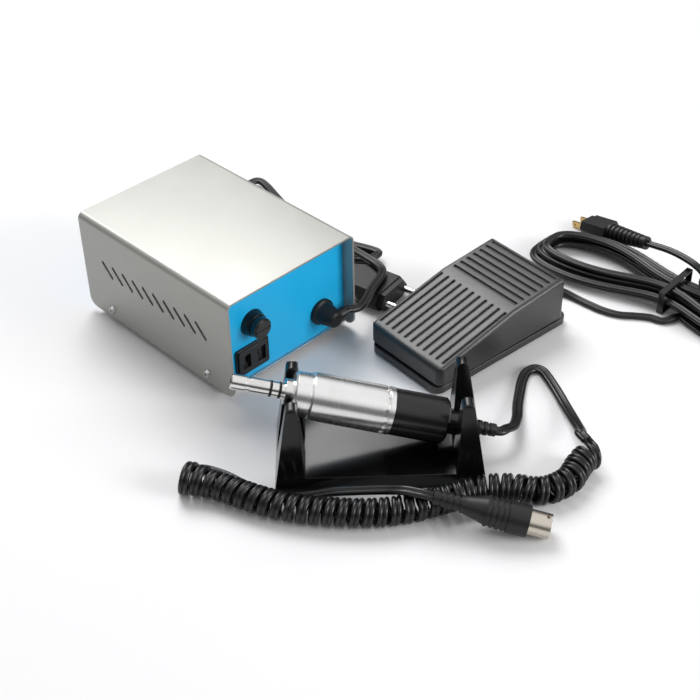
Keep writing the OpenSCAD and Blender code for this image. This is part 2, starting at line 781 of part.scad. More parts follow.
module speed_knob() color([0.05, 0.05, 0.05]) on_control_panel(knob_x, knob_z) {
    seat = 3.6;
    skirt_h = 2.5;
    translate([0, 0, -panel_t - pot_l + 3]) cylinder(d = pot_shaft_d, h = pot_l + panel_t + seat);
    translate([0, 0, seat]) difference() {
        union() {
            cylinder(d = knob_d, h = skirt_h);
            cylinder(d = knob_d - 6, h = knob_l - 1);
            translate([0, 0, knob_l - 1]) cylinder(d1 = knob_d - 6, d2 = knob_d - 8, h = 1);
        }
        for (a = [10:20:350])
            rotate(a) translate([knob_d / 2 - 3, 0, skirt_h + 1]) cylinder(d = 1.8, h = knob_l);
        rotate(knob_travel / 2) translate([-0.6, -knob_d / 2 - 1, knob_l - 0.8])
            cube([1.2, knob_d / 2 + 1, 2]);
    }
}

// Housing of a rocker switch, open at the front, with two bearing holes for the rocker
module switch_body() difference() {
    in_w = switch_w - 4.4;
    in_h = switch_h - 4.4;
    union() {
        linear_extrude(2) round_rect(switch_w, switch_h, 1.5);
        translate([-switch_w / 2 + switch_lap, -switch_h / 2 + switch_lap, -panel_t - switch_l])
            cube([switch_w - 2 * switch_lap, switch_h - 2 * switch_lap, panel_t + switch_l + 1]);
    }
    translate([-in_w / 2, -in_h / 2, -9]) cube([in_w, in_h, 20]);
    rotate([90, 0, 0]) cylinder(d = 2.4 + 2 * shaft_fit, h = in_h + 2, center = true);
}

// Rocker with two shallow faces, at rest on its left side, turning about y
module rocker() rotate([0, rocker_travel / 2, 0]) {
    half = (switch_w - 4.4) / 2 - 0.5;
    h = switch_h - 4.4 - 2 * 0.25;
    rotate([90, 0, 0]) translate([0, 0, -h / 2]) linear_extrude(h)
        polygon([[-half, 2.9], [0, 1.5], [half, 2.9], [half, -1.6], [0, -5], [-half, -1.6]]);
    rotate([90, 0, 0]) cylinder(d = 2.4, h = h + 2, center = true);
}

module power_switch() color([0.06, 0.06, 0.06]) on_control_panel(power_x, switch_z) switch_body();
module power_rocker() color([0.70, 0.06, 0.05]) on_control_panel(power_x, switch_z) rocker();
module direction_switch() color([0.06, 0.06, 0.06]) on_control_panel(direction_x, switch_z) switch_body();
module direction_rocker() color([0.10, 0.10, 0.10]) on_control_panel(direction_x, switch_z) rocker();

module motor_socket() color([0.45, 0.46, 0.48]) on_control_panel(socket_x, socket_z) {
    insert_d = shell_d - 1.6;
    difference() {
        union() {
            cylinder(d = socket_d + 5, h = 2);
            translate([0, 0, -panel_t - 12]) cylinder(d = socket_d, h = panel_t + 12 + eps);
        }
        translate([0, 0, -9]) cylinder(d = shell_d + 0.6, h = 20);
    }
    difference() {
        translate([0, 0, -9 - eps]) cylinder(d = insert_d, h = 9);
        for (a = [-90:45:90])
            rotate(a) translate([0, 3.75, -7]) cylinder(d = contact_d + 0.4, h = 10);
    }
}

module indicator_lens() color([0.20, 0.75, 0.25]) on_control_panel(lamp_x, lamp_z) {
    translate([0, 0, -panel_t - 7]) cylinder(d = lamp_d, h = panel_t + 7 + eps);
    cylinder(d = lamp_d + 2.4, h = 1.2);
    translate([0, 0, 1.2]) cylinder(d1 = lamp_d, d2 = lamp_d - 2, h = 2);
}

// Foot pedal

module pedal_base() color([0.07, 0.07, 0.08]) pedal_frame() {
    rim_gap = 1.2;
    rim_w = treadle_w - 2 * treadle_wall - 2 * rim_gap;
    rim_low = pin_x + 6;
    rim_high = high_x - treadle_wall - rim_gap;
    rim_l = rim_high - rim_low;
    rim_x = (rim_low + rim_high) / 2;
    rim_h = 3.2;
    translate([0, 0, pedal_foot_h]) linear_extrude(base_t) round_rect(pedal_l, pedal_w, pedal_r);
    translate([rim_x, 0, base_top - eps]) linear_extrude(rim_h) difference() {
        round_rect(rim_l, rim_w, 3);
        round_rect(rim_l - 3.2, rim_w - 3.2, 1.4);
    }
    for (y = [-1, 1])
        translate([pin_x, y * ear_y + ear_t / 2, 0]) rotate([90, 0, 0]) linear_extrude(ear_t)
            difference() {
                union() {
                    translate([0, pin_z]) circle(d = hinge_d + 4);
                    translate([-hinge_d / 2 - 2, base_top - eps]) square([hinge_d + 4, hinge_h]);
                }
                translate([0, pin_z]) circle(d = hinge_d + 2 * shaft_fit);
            }
    translate([spring_x, 0, base_top - eps]) cylinder(d = spring_d - 2 * spring_wire - 1.2, h = 3);
    translate([micro_x - micro_l / 2, -micro_w / 2, base_top - eps])
        cube([micro_l, micro_w, micro_z - base_top + eps]);
}

// Side outline of the treadle, shrunk by t on every side and open below where t is more than 0
module treadle_side(t) {
    front_drop = t / cos(front_slope);
    back_drop = t / cos(back_slope);
    drop = (front_drop + back_drop) / 2;
    bottom_low = base_top + gap_low;
    bottom_high = base_top + gap_high;
    below = t > 0 ? 20 : 0;
    low_foot = [low_x + t, bottom_low - below];
    low = [low_x + t, low_top + t * tan(front_slope) - front_drop];
    crease = [crease_at, crease_z - drop];
    high = [high_x - t, high_top - t * tan(back_slope) - back_drop];
    high_foot = [high_x - t, bottom_high - below];
    polygon(concat([low_foot], rounded(low_foot, low, crease, max(low_round - t, 0.5)), [crease],
        rounded(crease, high, high_foot, max(high_round - t, 0.5)), [high_foot]));
}

// Frames on the two sloping faces, with z = 0 on the face at the crease
module on_front_face() translate([crease_at, 0, crease_z]) rotate([0, -front_slope, 0]) children();
module on_back_face() translate([crease_at, 0, crease_z]) rotate([0, -back_slope, 0]) children();

// What rounds a long upper edge off
module edge_cutter(l) rotate([0, 90, 0]) linear_extrude(l) difference() {
    translate([-2, -treadle_edge]) square([treadle_edge + 2, treadle_edge + 2]);
    translate([treadle_edge, -treadle_edge]) circle(treadle_edge);
}

module treadle() color([0.10, 0.10, 0.11]) pedal_frame() difference() {
    front_l = crease_x / cos(front_slope);
    back_l = (treadle_l - crease_x) / cos(back_slope);
    union() {
        difference() {
            intersection() {
                translate([0, treadle_w / 2, 0]) rotate([90, 0, 0])
                    linear_extrude(treadle_w) treadle_side(0);
                translate([(low_x + high_x) / 2, 0, 0])
                    linear_extrude(60) round_rect(treadle_l, treadle_w, treadle_r);
            }
            translate([0, treadle_w / 2 - treadle_wall, 0]) rotate([90, 0, 0])
                linear_extrude(treadle_w - 2 * treadle_wall) treadle_side(treadle_wall);
        }
        intersection() {
            for (y = [-1, 1])
                translate([pin_x, y * (ear_y + ear_t + 0.6) + ear_t / 2, 0]) rotate([90, 0, 0])
                    linear_extrude(ear_t) {
                        translate([0, pin_z]) circle(d = hinge_d + 4);
                        translate([-hinge_d / 2 - 2, pin_z]) square([hinge_d + 4, 20]);
                    }
            translate([0, treadle_w / 2, 0]) rotate([90, 0, 0])
                linear_extrude(treadle_w) treadle_top_band();
        }
        intersection() {
            translate([plunger_at, 0, lever_z + lever_gap])
                cylinder(d = plunger_d, h = 30);
            translate([0, treadle_w / 2, 0]) rotate([90, 0, 0])
                linear_extrude(treadle_w) treadle_side(treadle_wall / 2);
        }
    }
    translate([pin_x, 0, pin_z]) rotate([90, 0, 0])
        cylinder(d = hinge_d + 2 * hinge_fit, h = treadle_w - 4 * treadle_wall, center = true);
    for (i = [0:front_grooves - 1])
        on_front_face()
            translate([-front_l / 2 + 0.75, (i - (front_grooves - 1) / 2) * groove_pitch, -groove_t])
                slot(front_l - 8.5, groove_w, 5);
    for (i = [0:back_grooves - 1])
        on_back_face() translate([5.7 + i * groove_pitch, 0, -groove_t])
            rotate(90) slot(2 * groove_half, groove_w, 5);
    for (side = [0, 1])
        mirror([0, side, 0]) {
            on_front_face() translate([-front_l - 3, treadle_w / 2, 0]) edge_cutter(front_l + 3.2);
            on_back_face() translate([-0.2, treadle_w / 2, 0]) edge_cutter(back_l + 3);
        }
}

// The treadle's outline down to just below the pin, which keeps the hinge lugs inside it
module treadle_top_band() polygon([
    [low_x + treadle_wall / 2, pin_z - hinge_d / 2 - 2],
    [low_x + treadle_wall / 2, low_top - treadle_wall / 2],
    [crease_at, crease_z - treadle_wall / 2],
    [crease_at, pin_z - hinge_d / 2 - 2]]);

module hinge_pin() color([0.75, 0.75, 0.76]) pedal_frame()
    translate([pin_x, 0, pin_z]) rotate([90, 0, 0])
        cylinder(d = hinge_d, h = 2 * (ear_y + 1.5 * ear_t + 1), center = true);

module microswitch() color([0.12, 0.12, 0.14]) pedal_frame() {
    translate([micro_x - micro_l / 2, -micro_w / 2, micro_z]) cube([micro_l, micro_w, micro_h]);
    translate([lever_x + 6, 0, micro_z + micro_h - eps]) cylinder(d = 2.4, h = 0.4);
    for (y = [-1, 1])
        translate([lever_x - 1.4, y * (micro_w / 2 - 0.5) - 0.5, micro_z + micro_h - eps])
            difference() {
                cube([2.8, 1, lever_rise + 1.2]);
                translate([1.4, -1, lever_rise]) rotate([-90, 0, 0])
                    cylinder(d = 1 + 2 * shaft_fit, h = 3);
            }
}

module switch_lever() color([0.80, 0.80, 0.80]) pedal_frame() translate([lever_x, 0, lever_z]) {
    rotate([90, 0, 0]) cylinder(d = 1, h = micro_w, center = true);
    rotate([90, 0, 0]) cylinder(d = 1.6, h = micro_w - 2.6, center = true);
    translate([0, -(micro_w - 2.6) / 2, -0.25]) cube([lever_l, micro_w - 2.6, 0.5]);
}

module pedal_gland() color([0.06, 0.06, 0.06]) pedal_frame()
    translate([pedal_l / 2, 0, gland_z]) rotate([0, 90, 0]) ribbed_relief(gland_d, gland_d - 0.4, gland_l, 3);

module pedal_feet() color([0.15, 0.15, 0.15]) pedal_frame()
    for (x = [-1, 1], y = [-1, 1])
        translate([x * (pedal_l / 2 - 10), y * (pedal_w / 2 - 9), 0])
            cylinder(d = 9, h = pedal_foot_h);

// Stand

// Side view of the stand, narrower at the top, with round prong tips
module stand_side() difference() {
    polygon([[0, 0], [stand_w, 0], [stand_w - stand_taper, stand_h], [stand_taper, stand_h]]);
    for (m = [0, 1])
        translate([m * stand_w, 0]) mirror([m, 0]) {
            translate([stand_taper - 2, stand_h - prong_r]) difference() {
                square([prong_r + 2, prong_r + 1]);
                translate([prong_r + 2, 0]) circle(prong_r);
            }
        }
}

module notch() polygon([
    [stand_w / 2 - notch_foot, stand_plate],
    [stand_w / 2 + notch_foot, stand_plate],
    [stand_w / 2 + notch_top, stand_h],
    [stand_w / 2 + notch_top, stand_h + 1],
    [stand_w / 2 - notch_top, stand_h + 1],
    [stand_w / 2 - notch_top, stand_h]]);

module stand() color([0.05, 0.05, 0.05]) stand_frame() intersection() {
    translate([0, stand_w, 0]) rotate([90, 0, 0]) linear_extrude(stand_w) {
        foot_in = stand_lean * stand_plate / stand_h + stand_wall_foot;
        for (m = [0, 1])
            translate([m * stand_l, 0]) mirror([m, 0]) hull() {
                polygon([[0, 0], [foot_in, 0], [foot_in, stand_plate]]);
                translate([stand_lean + stand_wall / 2, stand_h - stand_wall / 2])
                    circle(d = stand_wall);
            }
        translate([foot_in - 1, 0]) square([stand_l - 2 * foot_in + 2, stand_plate]);
    }
    rotate([90, 0, 90]) linear_extrude(stand_l) difference() {
        stand_side();
        notch();
    }
}

// Handpiece

module coupling_nose() color([0.86, 0.86, 0.87]) hand_frame() difference() {
    union() {
        translate([0, 0, -nose_l + 0.6]) cylinder(d = nose_d, h = nose_l - 0.6);
        translate([0, 0, -nose_l]) cylinder(d1 = nose_d - 1.2, d2 = nose_d, h = 0.6);
        translate([0, 0, -nose_flange_t]) cylinder(d = nose_flange_d, h = nose_flange_t);
    }
    translate([0, 0, -nose_l - 1]) cylinder(d = nose_bore, h = nose_l + 2);
    for (i = [0, 1])
        translate([0, 0, -nose_l + oring_first + i * oring_gap])
            washer(nose_d + 2, nose_d - oring_t, oring_t + 0.1);
    translate([0, 0, -nose_l + 8]) washer(nose_d + 2, nose_d - 0.8, 2.2);
}

module nose_o_rings() color([0.05, 0.05, 0.05]) hand_frame()
    for (i = [0, 1])
        translate([0, 0, -nose_l + oring_first + i * oring_gap + 0.05])
            rotate_extrude()
                translate([(nose_d - oring_t) / 2, 0]) square([oring_t * 0.62, oring_t]);

module front_ring() color([0.72, 0.72, 0.73]) hand_frame() difference() {
    union() {
        cylinder(d1 = ring_d - 2, d2 = ring_d, h = 1);
        translate([0, 0, 1]) cylinder(d = ring_d, h = ring_l - 1.6);
        translate([0, 0, ring_l - 0.6]) cylinder(d = ring_d - 1.6, h = 0.6);
        translate([0, 0, ring_l]) cylinder(d = magnet_d - 2 * fit, h = 3);
    }
    translate([0, 0, -1]) cylinder(d = nose_bore, h = ring_l + 6);
    translate([0, 0, bearing_seat]) cylinder(d = bearing_d + 2 * shaft_fit, h = 9);
}

module motor_sleeve() color([0.78, 0.78, 0.79]) hand_frame() difference() {
    mark_z = 47.5;
    union() {
        translate([0, 0, ring_l]) cylinder(d1 = sleeve_d - 1.2, d2 = sleeve_d, h = 0.8);
        translate([0, 0, ring_l + 0.8]) cylinder(d = sleeve_d, h = sleeve_end - ring_l - 0.8);
    }
    translate([0, 0, ring_l - 1]) cylinder(d = magnet_d, h = sleeve_end);
    for (a = [0:30:330])
        rotate(a) translate([magnet_d / 2 + 0.3, 0, mark_z + 1.6]) rotate([0, 90, 0]) rotate(90)
            slot(4.6, 2, 2);
    translate([0, 0, sleeve_end - 3]) washer(sleeve_d + 2, sleeve_d - 0.5, 0.5);
}

module stator_magnets() color([0.28, 0.28, 0.30]) hand_frame()
    for (a = [0, 180])
        rotate(a) difference() {
            translate([0, 0, armature_at - 2])
                washer(magnet_d - 2 * fit, magnet_d - 2 * magnet_t, armature_l + 4);
            for (m = [0, 1])
                rotate(m * 180 + 25 * (1 - 2 * m)) translate([-30, 0, 0])
                    mirror([0, 1 - m, 0]) cube([60, 30, 80]);
        }

module shaft_bearings() color([0.70, 0.70, 0.72]) hand_frame()
    for (z = [bearing_seat, endbell_at + endbell_l - bearing_w])
        translate([0, 0, z]) washer(bearing_d, shaft_d + 2 * shaft_fit, bearing_w);

module rear_sleeve() color([0.06, 0.06, 0.06]) hand_frame() difference() {
    union() {
        translate([0, 0, sleeve_end]) cylinder(d = rear_d, h = rear_end - sleeve_end - 1.2);
        translate([0, 0, rear_end - 1.2]) cylinder(d1 = rear_d, d2 = rear_d - 2.4, h = 1.2);
    }
    translate([0, 0, sleeve_end - 1]) cylinder(d = magnet_d - 0.6, h = rear_end - sleeve_end - 2);
    translate([0, 0, rear_end - 4]) cylinder(d = neck_d - 3.6, h = 6);
}

module rear_cap() color([0.07, 0.07, 0.07]) hand_frame() {
    translate([0, 0, rear_end]) cylinder(d = neck_d, h = neck_end - rear_end - 1);
    translate([0, 0, neck_end - 1]) cylinder(d1 = neck_d, d2 = neck_d - 2, h = 1);
    translate([0, 0, rear_end - 6]) cylinder(d = neck_d - 3.6 - 2 * fit, h = 6);
}

module brush_gear() color([0.50, 0.34, 0.16]) hand_frame() {
    bell_d = magnet_d - 0.6 - 2 * fit;
    translate([0, 0, endbell_at]) difference() {
        cylinder(d = bell_d, h = endbell_l);
        translate([0, 0, -1]) cylinder(d = shaft_d + 2, h = endbell_l + 2);
        translate([0, 0, endbell_l - bearing_w])
            cylinder(d = bearing_d + 2 * shaft_fit, h = bearing_w + 1);
    }
    for (a = [0, 180])
        rotate(a) translate([commutator_d / 2 + 0.15, -2.5, commutator_at + 0.5])
            cube([5, 5, endbell_at - commutator_at - 0.5 + eps]);
}

module handpiece_relief() color([0.06, 0.06, 0.06]) hand_frame()
    translate([0, 0, neck_end]) ribbed_relief(relief_d, relief_tip_d, relief_end - neck_end, relief_ribs);

module rotor_shaft() color([0.85, 0.85, 0.86]) hand_frame()
    translate([0, 0, -8]) cylinder(d = shaft_d, h = endbell_at + endbell_l + 7);

module armature() color([0.70, 0.40, 0.18]) hand_frame() translate([0, 0, armature_at]) difference() {
    cylinder(d = armature_d, h = armature_l);
    translate([0, 0, -1]) cylinder(d = shaft_d, h = armature_l + 2);
    for (a = [0:72:288])
        rotate(a) translate([armature_d / 2 - 3, -0.8, -1]) cube([6, 1.6, armature_l + 2]);
}

module commutator() color([0.75, 0.45, 0.25]) hand_frame()
    translate([0, 0, commutator_at]) washer(commutator_d, shaft_d, commutator_l);

module drive_dog() color([0.80, 0.80, 0.82]) hand_frame() translate([0, 0, -nose_l + 10]) difference() {
    dog_l = nose_l - 10 - 3.5;
    cylinder(d = nose_bore - 2 * slide_fit, h = dog_l);
    translate([0, 0, -8 + nose_l - 10]) cylinder(d = shaft_d, h = 20);
    translate([-0.6, -5, -1]) cube([1.2, 10, 3]);
}

// Motor plug

module din_boot() color([0.07, 0.07, 0.07]) din_frame() {
    grip_l = 11.5;
    collar_l = boot_l - grip_l;
    translate([0, 0, -shell_l - collar_l]) cylinder(d = boot_d, h = collar_l);
    translate([0, 0, -shell_l - boot_l]) cylinder(d = boot_d - 1.6, h = grip_l + eps);
    for (i = [0:3])
        translate([0, 0, -shell_l - boot_l + i * 3]) cylinder(d = boot_d - 0.4, h = 1.6);
    translate([0, 0, -shell_l - boot_l]) rotate([180, 0, 0]) {
        cylinder(d1 = boot_d - 1.6, d2 = boot_relief_d, h = 11);
        translate([0, 0, 11 - eps])
            ribbed_relief(boot_relief_d, lead_w + 1.4, boot_relief_l - 11, 5);
    }
}

module din_shell() color([0.80, 0.78, 0.74]) din_frame() difference() {
    translate([0, 0, -shell_l]) cylinder(d = shell_d, h = shell_l);
    translate([0, 0, -shell_l + 1.5]) cylinder(d = shell_d - 1.2, h = shell_l);
    translate([-shell_d / 2 - 1, -1.1, -3]) cube([2.4, 2.2, 4]);
}

module din_pins() color([0.75, 0.72, 0.62]) din_frame() translate([0, 0, -shell_l + 1.5]) {
    cylinder(d = shell_d - 1.2 - 2 * fit, h = 2);
    for (a = [0:45:180])
        rotate(a) translate([3.75, 0, 2 - eps]) cylinder(d = contact_d, h = shell_l - 4.5);
}

// Mains plug

// A long hexagon w wide and t high, with its flats w - drawn wide, swept back from x = 0
module hex_bar(w, t, drawn, l) translate([-l, 0, 0]) rotate([90, 0, 90]) linear_extrude(l) polygon([
    [-w / 2, 0], [(drawn - w) / 2, t / 2], [(w - drawn) / 2, t / 2],
    [w / 2, 0], [(w - drawn) / 2, -t / 2], [(drawn - w) / 2, -t / 2]]);

module euro_plug() color([0.06, 0.06, 0.06]) euro_frame() {
    tail_w = 12;
    shoulder = 0.45;
    intersection() {
        translate([-euro_nose_l, 0, 0]) hex_bar(euro_w, euro_t, euro_slant, euro_l - euro_nose_l);
        translate([0, 0, -euro_t]) linear_extrude(2 * euro_t) polygon([
            [0, -euro_w / 2], [0, euro_w / 2], [-euro_l * shoulder, euro_w / 2], [-euro_l, tail_w / 2],
            [-euro_l, -tail_w / 2], [-euro_l * shoulder, -euro_w / 2]]);
    }
    hex_bar(euro_nose_w, euro_t - 1.6, euro_slant - 2, euro_nose_l + eps);
    translate([-euro_l + eps, 0, 0]) rotate([0, -90, 0]) ribbed_relief(9, 7.4, euro_relief_l, 4);
}

module euro_pins() color([0.85, 0.84, 0.80]) euro_frame()
    for (y = [-1, 1])
        translate([0, y * euro_pitch / 2, 0]) rotate([0, 90, 0]) {
            cylinder(d = euro_pin_d, h = euro_pin_l - 1);
            translate([0, 0, euro_pin_l - 1])
                cylinder(d1 = euro_pin_d, d2 = euro_pin_d - 1.6, h = 1);
        }

// Pedal plug

module pedal_plug() color([0.06, 0.06, 0.06]) blade_frame() {
    nose_l = 3;
    translate([-nose_l, 0, 0]) hex_bar(blade_plug_w, blade_plug_t, 4.8, blade_plug_l - nose_l);
    hex_bar(blade_plug_w - 2, blade_plug_t - 1.2, 4.8, nose_l + eps);
    translate([-blade_plug_l, 0, 0]) rotate([0, -90, 0])
        ribbed_relief(blade_relief_d, blade_relief_d - 3.4, blade_relief_l, 9);
}

module plug_blades() color([0.85, 0.82, 0.70]) blade_frame()
    for (y = [-1, 1])
        translate([0, y * blade_pitch / 2 - 0.75, -blade_h / 2]) difference() {
            cube([blade_l, 1.5, blade_h]);
            translate([blade_l - 2.6, -1, blade_h / 2]) rotate([-90, 0, 0])
                cylinder(d = 1.8, h = 4);
        }

// Cords

function unit(v) = v / norm(v);
function smooth(t) = let (u = max(0, min(1, t))) u * u * (3 - 2 * u);

// A smooth curve through the points p, with n steps from each point to the next
function curve_at(a, b, c, d, t) =
    0.5 * (2 * b + (c - a) * t + (2 * a - 5 * b + 4 * c - d) * t * t + (3 * b - a - 3 * c + d) * t * t * t);
function curve(p, n) = let (m = len(p) - 1) concat(
    [for (i = [0:m - 1], k = [0:n - 1])
        curve_at(p[max(i - 1, 0)], p[i], p[i + 1], p[min(i + 2, m)], k / n)],
    [p[m]]);

// Heading of the path c at its point i
function heading(c, i) = let (m = len(c) - 1) unit(c[min(i + 1, m)] - c[max(i - 1, 0)]);

// Cross-section of a tube at p: n points of an oval, w wide and h high, with up turned to u
function ring(p, dir, u, w, h, n) =
    let (side = unit(cross(dir, u)), top = cross(side, dir))
    [for (k = [0:n - 1]) p + side * (w / 2 * cos(360 * k / n)) + top * (h / 2 * sin(360 * k / n))];

// Triangles that join m rings of n points into a closed tube
function tube_faces(m, n) = concat(
    [for (k = [1:n - 2]) [0, k + 1, k]],
    [for (k = [1:n - 2]) [(m - 1) * n, (m - 1) * n + k, (m - 1) * n + k + 1]],
    [for (i = [0:m - 2], k = [0:n - 1]) [i * n + k, i * n + (k + 1) % n, (i + 1) * n + k]],
    [for (i = [0:m - 2], k = [0:n - 1])
        [(i + 1) * n + k, i * n + (k + 1) % n, (i + 1) * n + (k + 1) % n]]);

module tube(rings) {
    n = len(rings[0]);
    polyhedron([for (r = rings) each r], tube_faces(len(rings), n), convexity = 10);
}

// Rings of a flat cord along the path c, its width level, and a plain cord made of them
function flat_rings(c, w, h, n) = [for (i = [0:len(c) - 1]) ring(c[i], heading(c, i), [0, 0, 1], w, h, n)];
module flat_cord(c, w, h) tube(flat_rings(c, w, h, 8));

// Least distance between two rings' points
function ring_gap(a, b) = min([for (p = a, q = b) norm(p - q)]);

// Least gap of a wound tube to itself, between rings more than skip apart
function self_gap(rings, c, reach, skip) = min([for (i = [0:len(c) - 1 - skip], j = [i + skip:len(c) - 1])
    if (norm(c[i] - c[j]) < reach) ring_gap(rings[i], rings[j])]);

// The handpiece's lead, from the strain relief over the table to the curly cord
lead_route = [[-4, -131, 12.4], [3.2, -129.9, 9.2], [13.4, -124.1, 5.4], [24, -116, 3],
    [34, -109.2, 1.8], [43, -103.5, 1.7], [50.4, -100.5, 1.7], [56.4, -101.3, 1.7], [58, -105.9, 1.7],
    [55.4, -112.5, 1.7], [49.3, -123.7, 1.9], [41.5, -136.1, 2.8], [31.8, -149.7, 6],
    [23.6, -159.5, 10.2]];

// The curly cord's axis in plan
coil_route = [[14.8, -173.9], [9.8, -172.7], [2, -174.1], [-7.2, -176.5], [-16.2, -175.5],
    [-23.2, -172.5], [-28.2, -167.5], [-32.2, -160.9], [-38.6, -153.9], [-49.2, -146.3], [-59.6, -141.7],
    [-70.2, -136.9], [-81.2, -131.7], [-93, -123.3], [-103.8, -112.7], [-113, -101.3], [-119.8, -91.7],
    [-125.4, -82.1], [-130, -71.9], [-133.8, -60.9], [-137.4, -50.1], [-141.8, -40.3], [-147.2, -32.5]];

// The lead from the curly cord's far end to the motor plug, beside the coil and over it
tail_route = [[-136.6, -26.1, 1.8], [-133.2, -26.9, 1.8], [-129.9, -30.9, 1.8], [-126.4, -40.5, 1.8],
    [-124.2, -51.9, 1.8], [-121.8, -63.5, 1.8], [-118.6, -71.7, 1.8], [-114, -76.9, 2],
    [-106, -84.9, 3.3], [-98.4, -93.3, 6], [-90.2, -105.6, 9.5], [-84, -117.4, 13.5],
    [-80.6, -127.4, 17.5], [-77.6, -134.3, 18.3]];

// The lead of the mains cord, from the box over the plug to the hank
mains_route = [[7.9, -3.1, 19.9], [14.4, -3.3, 18.8], [23.4, 0.9, 17.6], [32.4, 5.9, 16.9], [40.8, 9.5, 16.4],
    [48.4, 12.9, 16], [53.4, 17.9, 15.5], [55.6, 24.9, 15.1], [56.6, 33.7, 14.7], [57.8, 44.7, 14],
    [60.2, 58.7, 13], [63.2, 72.7, 11.4], [65.8, 85.7, 8.6]];

// The mains cord from its hank to the plug
mains_tail = [[38, 78.7, 2.4], [39.6, 60.7, 5]];

// The pedal's cord from its gland to the hank
pedal_route = [[122.4, -60.3, 4], [126.4, -68.3, 2.6], [127.6, -77.3, 1.5], [128, -86.3, 1.5],
    [128.8, -95.3, 1.5], [131.8, -104.9, 1.5], [137.6, -112.9, 1.5], [142.6, -120.3, 1.5],
    [145.4, -128.3, 1.5]];

// The pedal's cord from its hank to the plug
pedal_tail = [[184, -129.3, 15.4], [185.4, -121.3, 18.4], [187.2, -110.3, 18.8], [188.6, -99.3, 17.8]];

// The curly cord: eight rings to a curl, and straight for its own width at both ends
curl_r = (curl_d - lead_t) / 2;
coil_path = curve([for (p = coil_route) [p[0], p[1], 0]], 6);
coil_run = [for (i = 0, s = 0; i < len(coil_path);
    s = s + (i + 1 < len(coil_path) ? norm(coil_path[i + 1] - coil_path[i]) : 0), i = i + 1) s];
coil_l = coil_run[len(coil_run) - 1];
coil_x = [for (i = [0:len(coil_path) - 1]) [coil_run[i], coil_path[i][0]]];
coil_y = [for (i = [0:len(coil_path) - 1]) [coil_run[i], coil_path[i][1]]];
function coil_axis(s) = [lookup(s, coil_x), lookup(s, coil_y), 0];
function coil_dir(s) = unit(coil_axis(min(s + 2, coil_l)) - coil_axis(max(s - 2, 0)));
function coil_side(s) = cross(coil_dir(s), [0, 0, 1]);
curl_rings = 8 * curl_turns + 4;
function curl_radius(k) = curl_r + curl_flare * smooth((k - curl_rings + 24) / 20);
function curl_out(k) = let (a = 90 + 45 * k)
    coil_side(coil_l * k / curl_rings) * cos(a) + [0, 0, sin(a)];
function curl_way(k) = let (a = 90 + 45 * k)
    [0, 0, cos(a)] - coil_side(coil_l * k / curl_rings) * sin(a);
function curl_point(k) = coil_axis(coil_l * k / curl_rings) + curl_out(k) * curl_radius(k)
    + [0, 0, curl_radius(k) + lead_t / 2 + fit];
curl_in = curl_point(0) - curl_way(0) * lead_w;
curl_end = curl_point(curl_rings) + curl_way(curl_rings) * lead_w;
curl_path = concat([curl_in], [for (k = [0:curl_rings]) curl_point(k)], [curl_end]);
function curl_up(i) = curl_out(curl_turn(i));
curl_tube = [for (i = [0:len(curl_path) - 1])
    ring(curl_path[i], i == 0 || i == len(curl_path) - 1 ? curl_way(curl_turn(i)) : heading(curl_path, i),
        curl_up(i), curl_w, lead_t, 6)];
function curl_turn(i) = max(0, min(curl_rings, i - 1));

module curly_lead() color([0.09, 0.09, 0.09]) {
    a = stand_yaw;
    out = [cos(a) * cos(hand_tilt), sin(a) * cos(hand_tilt), -sin(hand_tilt)];
    start = [stand_x, stand_y, 0] + [cos(a) * hand_x - sin(a) * stand_w / 2,
        sin(a) * hand_x + cos(a) * stand_w / 2, hand_z] + out * relief_end;
    flat_cord(concat([start, start + out * 3], curve(lead_route, 1), [curl_in - curl_way(0) * 6, curl_in]),
        lead_w, lead_t);
}

module curly_coil() color([0.09, 0.09, 0.09]) tube(curl_tube);

module curly_tail() color([0.09, 0.09, 0.09]) {
    a = din_yaw;
    back = -[cos(a) * cos(din_tilt), sin(a) * cos(din_tilt), -sin(din_tilt)];
    end = din_at + back * (shell_l + boot_l + boot_relief_l);
    flat_cord(concat([curl_end, curl_end + curl_way(curl_rings) * 3], tail_route, [end + back * 4, end]),
        lead_w, lead_t);
}

// A hank in its own frame: x along it and y across, both to the cord's middle line.
// The loops spiral in for some turns and out again for as many, one layer up each time, and are
// drawn in at the waist. Turn t counts from where the first layer starts.
function hank_tri(t, per) = per - abs(t - 2 * per * floor(t / (2 * per)) - per);
function hank_point(t, l, w, draw, waist, step, per, layers, rise, bow, way) =
    let (
        a = 270 + 360 * t * way,
        in = step * hank_tri(t, per),
        x = (l / 2 - in) * cos(a),
        half = w / 2 - in - draw * exp(-pow((x - waist) / waist_l, 2)),
        y = half * pow(abs(sin(a)), 0.6) * sign(sin(a)) + bow * pow(x / (l / 2), 2),
        up = [for (m = [1:layers - 1]) smooth((t - per * m + 0.25) / 0.5)] * [for (m = [1:layers - 1]) 1],
        tie = tie_lift * exp(-pow((x - waist) / 25, 2)))
    [x, y, rise * up + tie];

function turned(p, at, yaw) =
    [at[0] + p[0] * cos(yaw) - p[1] * sin(yaw), at[1] + p[0] * sin(yaw) + p[1] * cos(yaw), p[2]];

// How far a hank's waist reaches along it, and its lift off the table on its tie
waist_l = 40;
tie_lift = tie_t + 0.4;

// The pedal cord's hank: five and a third loops in four layers
phank_at = [166.8, -99.9];
phank_yaw = -86;
phank_l = 150;
phank_w = 57;
phank_draw = 15.7;
phank_waist = 20;
phank_step = 6.8;
phank_per = 1.5;
phank_layers = 4;
phank_rise = pcord_t + 0.7;
phank_bow = -8;
phank_from = 2;
phank_to = 130;
phank_loops = [for (k = [phank_from:phank_to])
    turned(hank_point(k / 24, phank_l, phank_w, phank_draw, phank_waist, phank_step, phank_per,
        phank_layers, phank_rise, phank_bow, 1), phank_at, phank_yaw) + [0, 0, pcord_t / 2 + fit]];

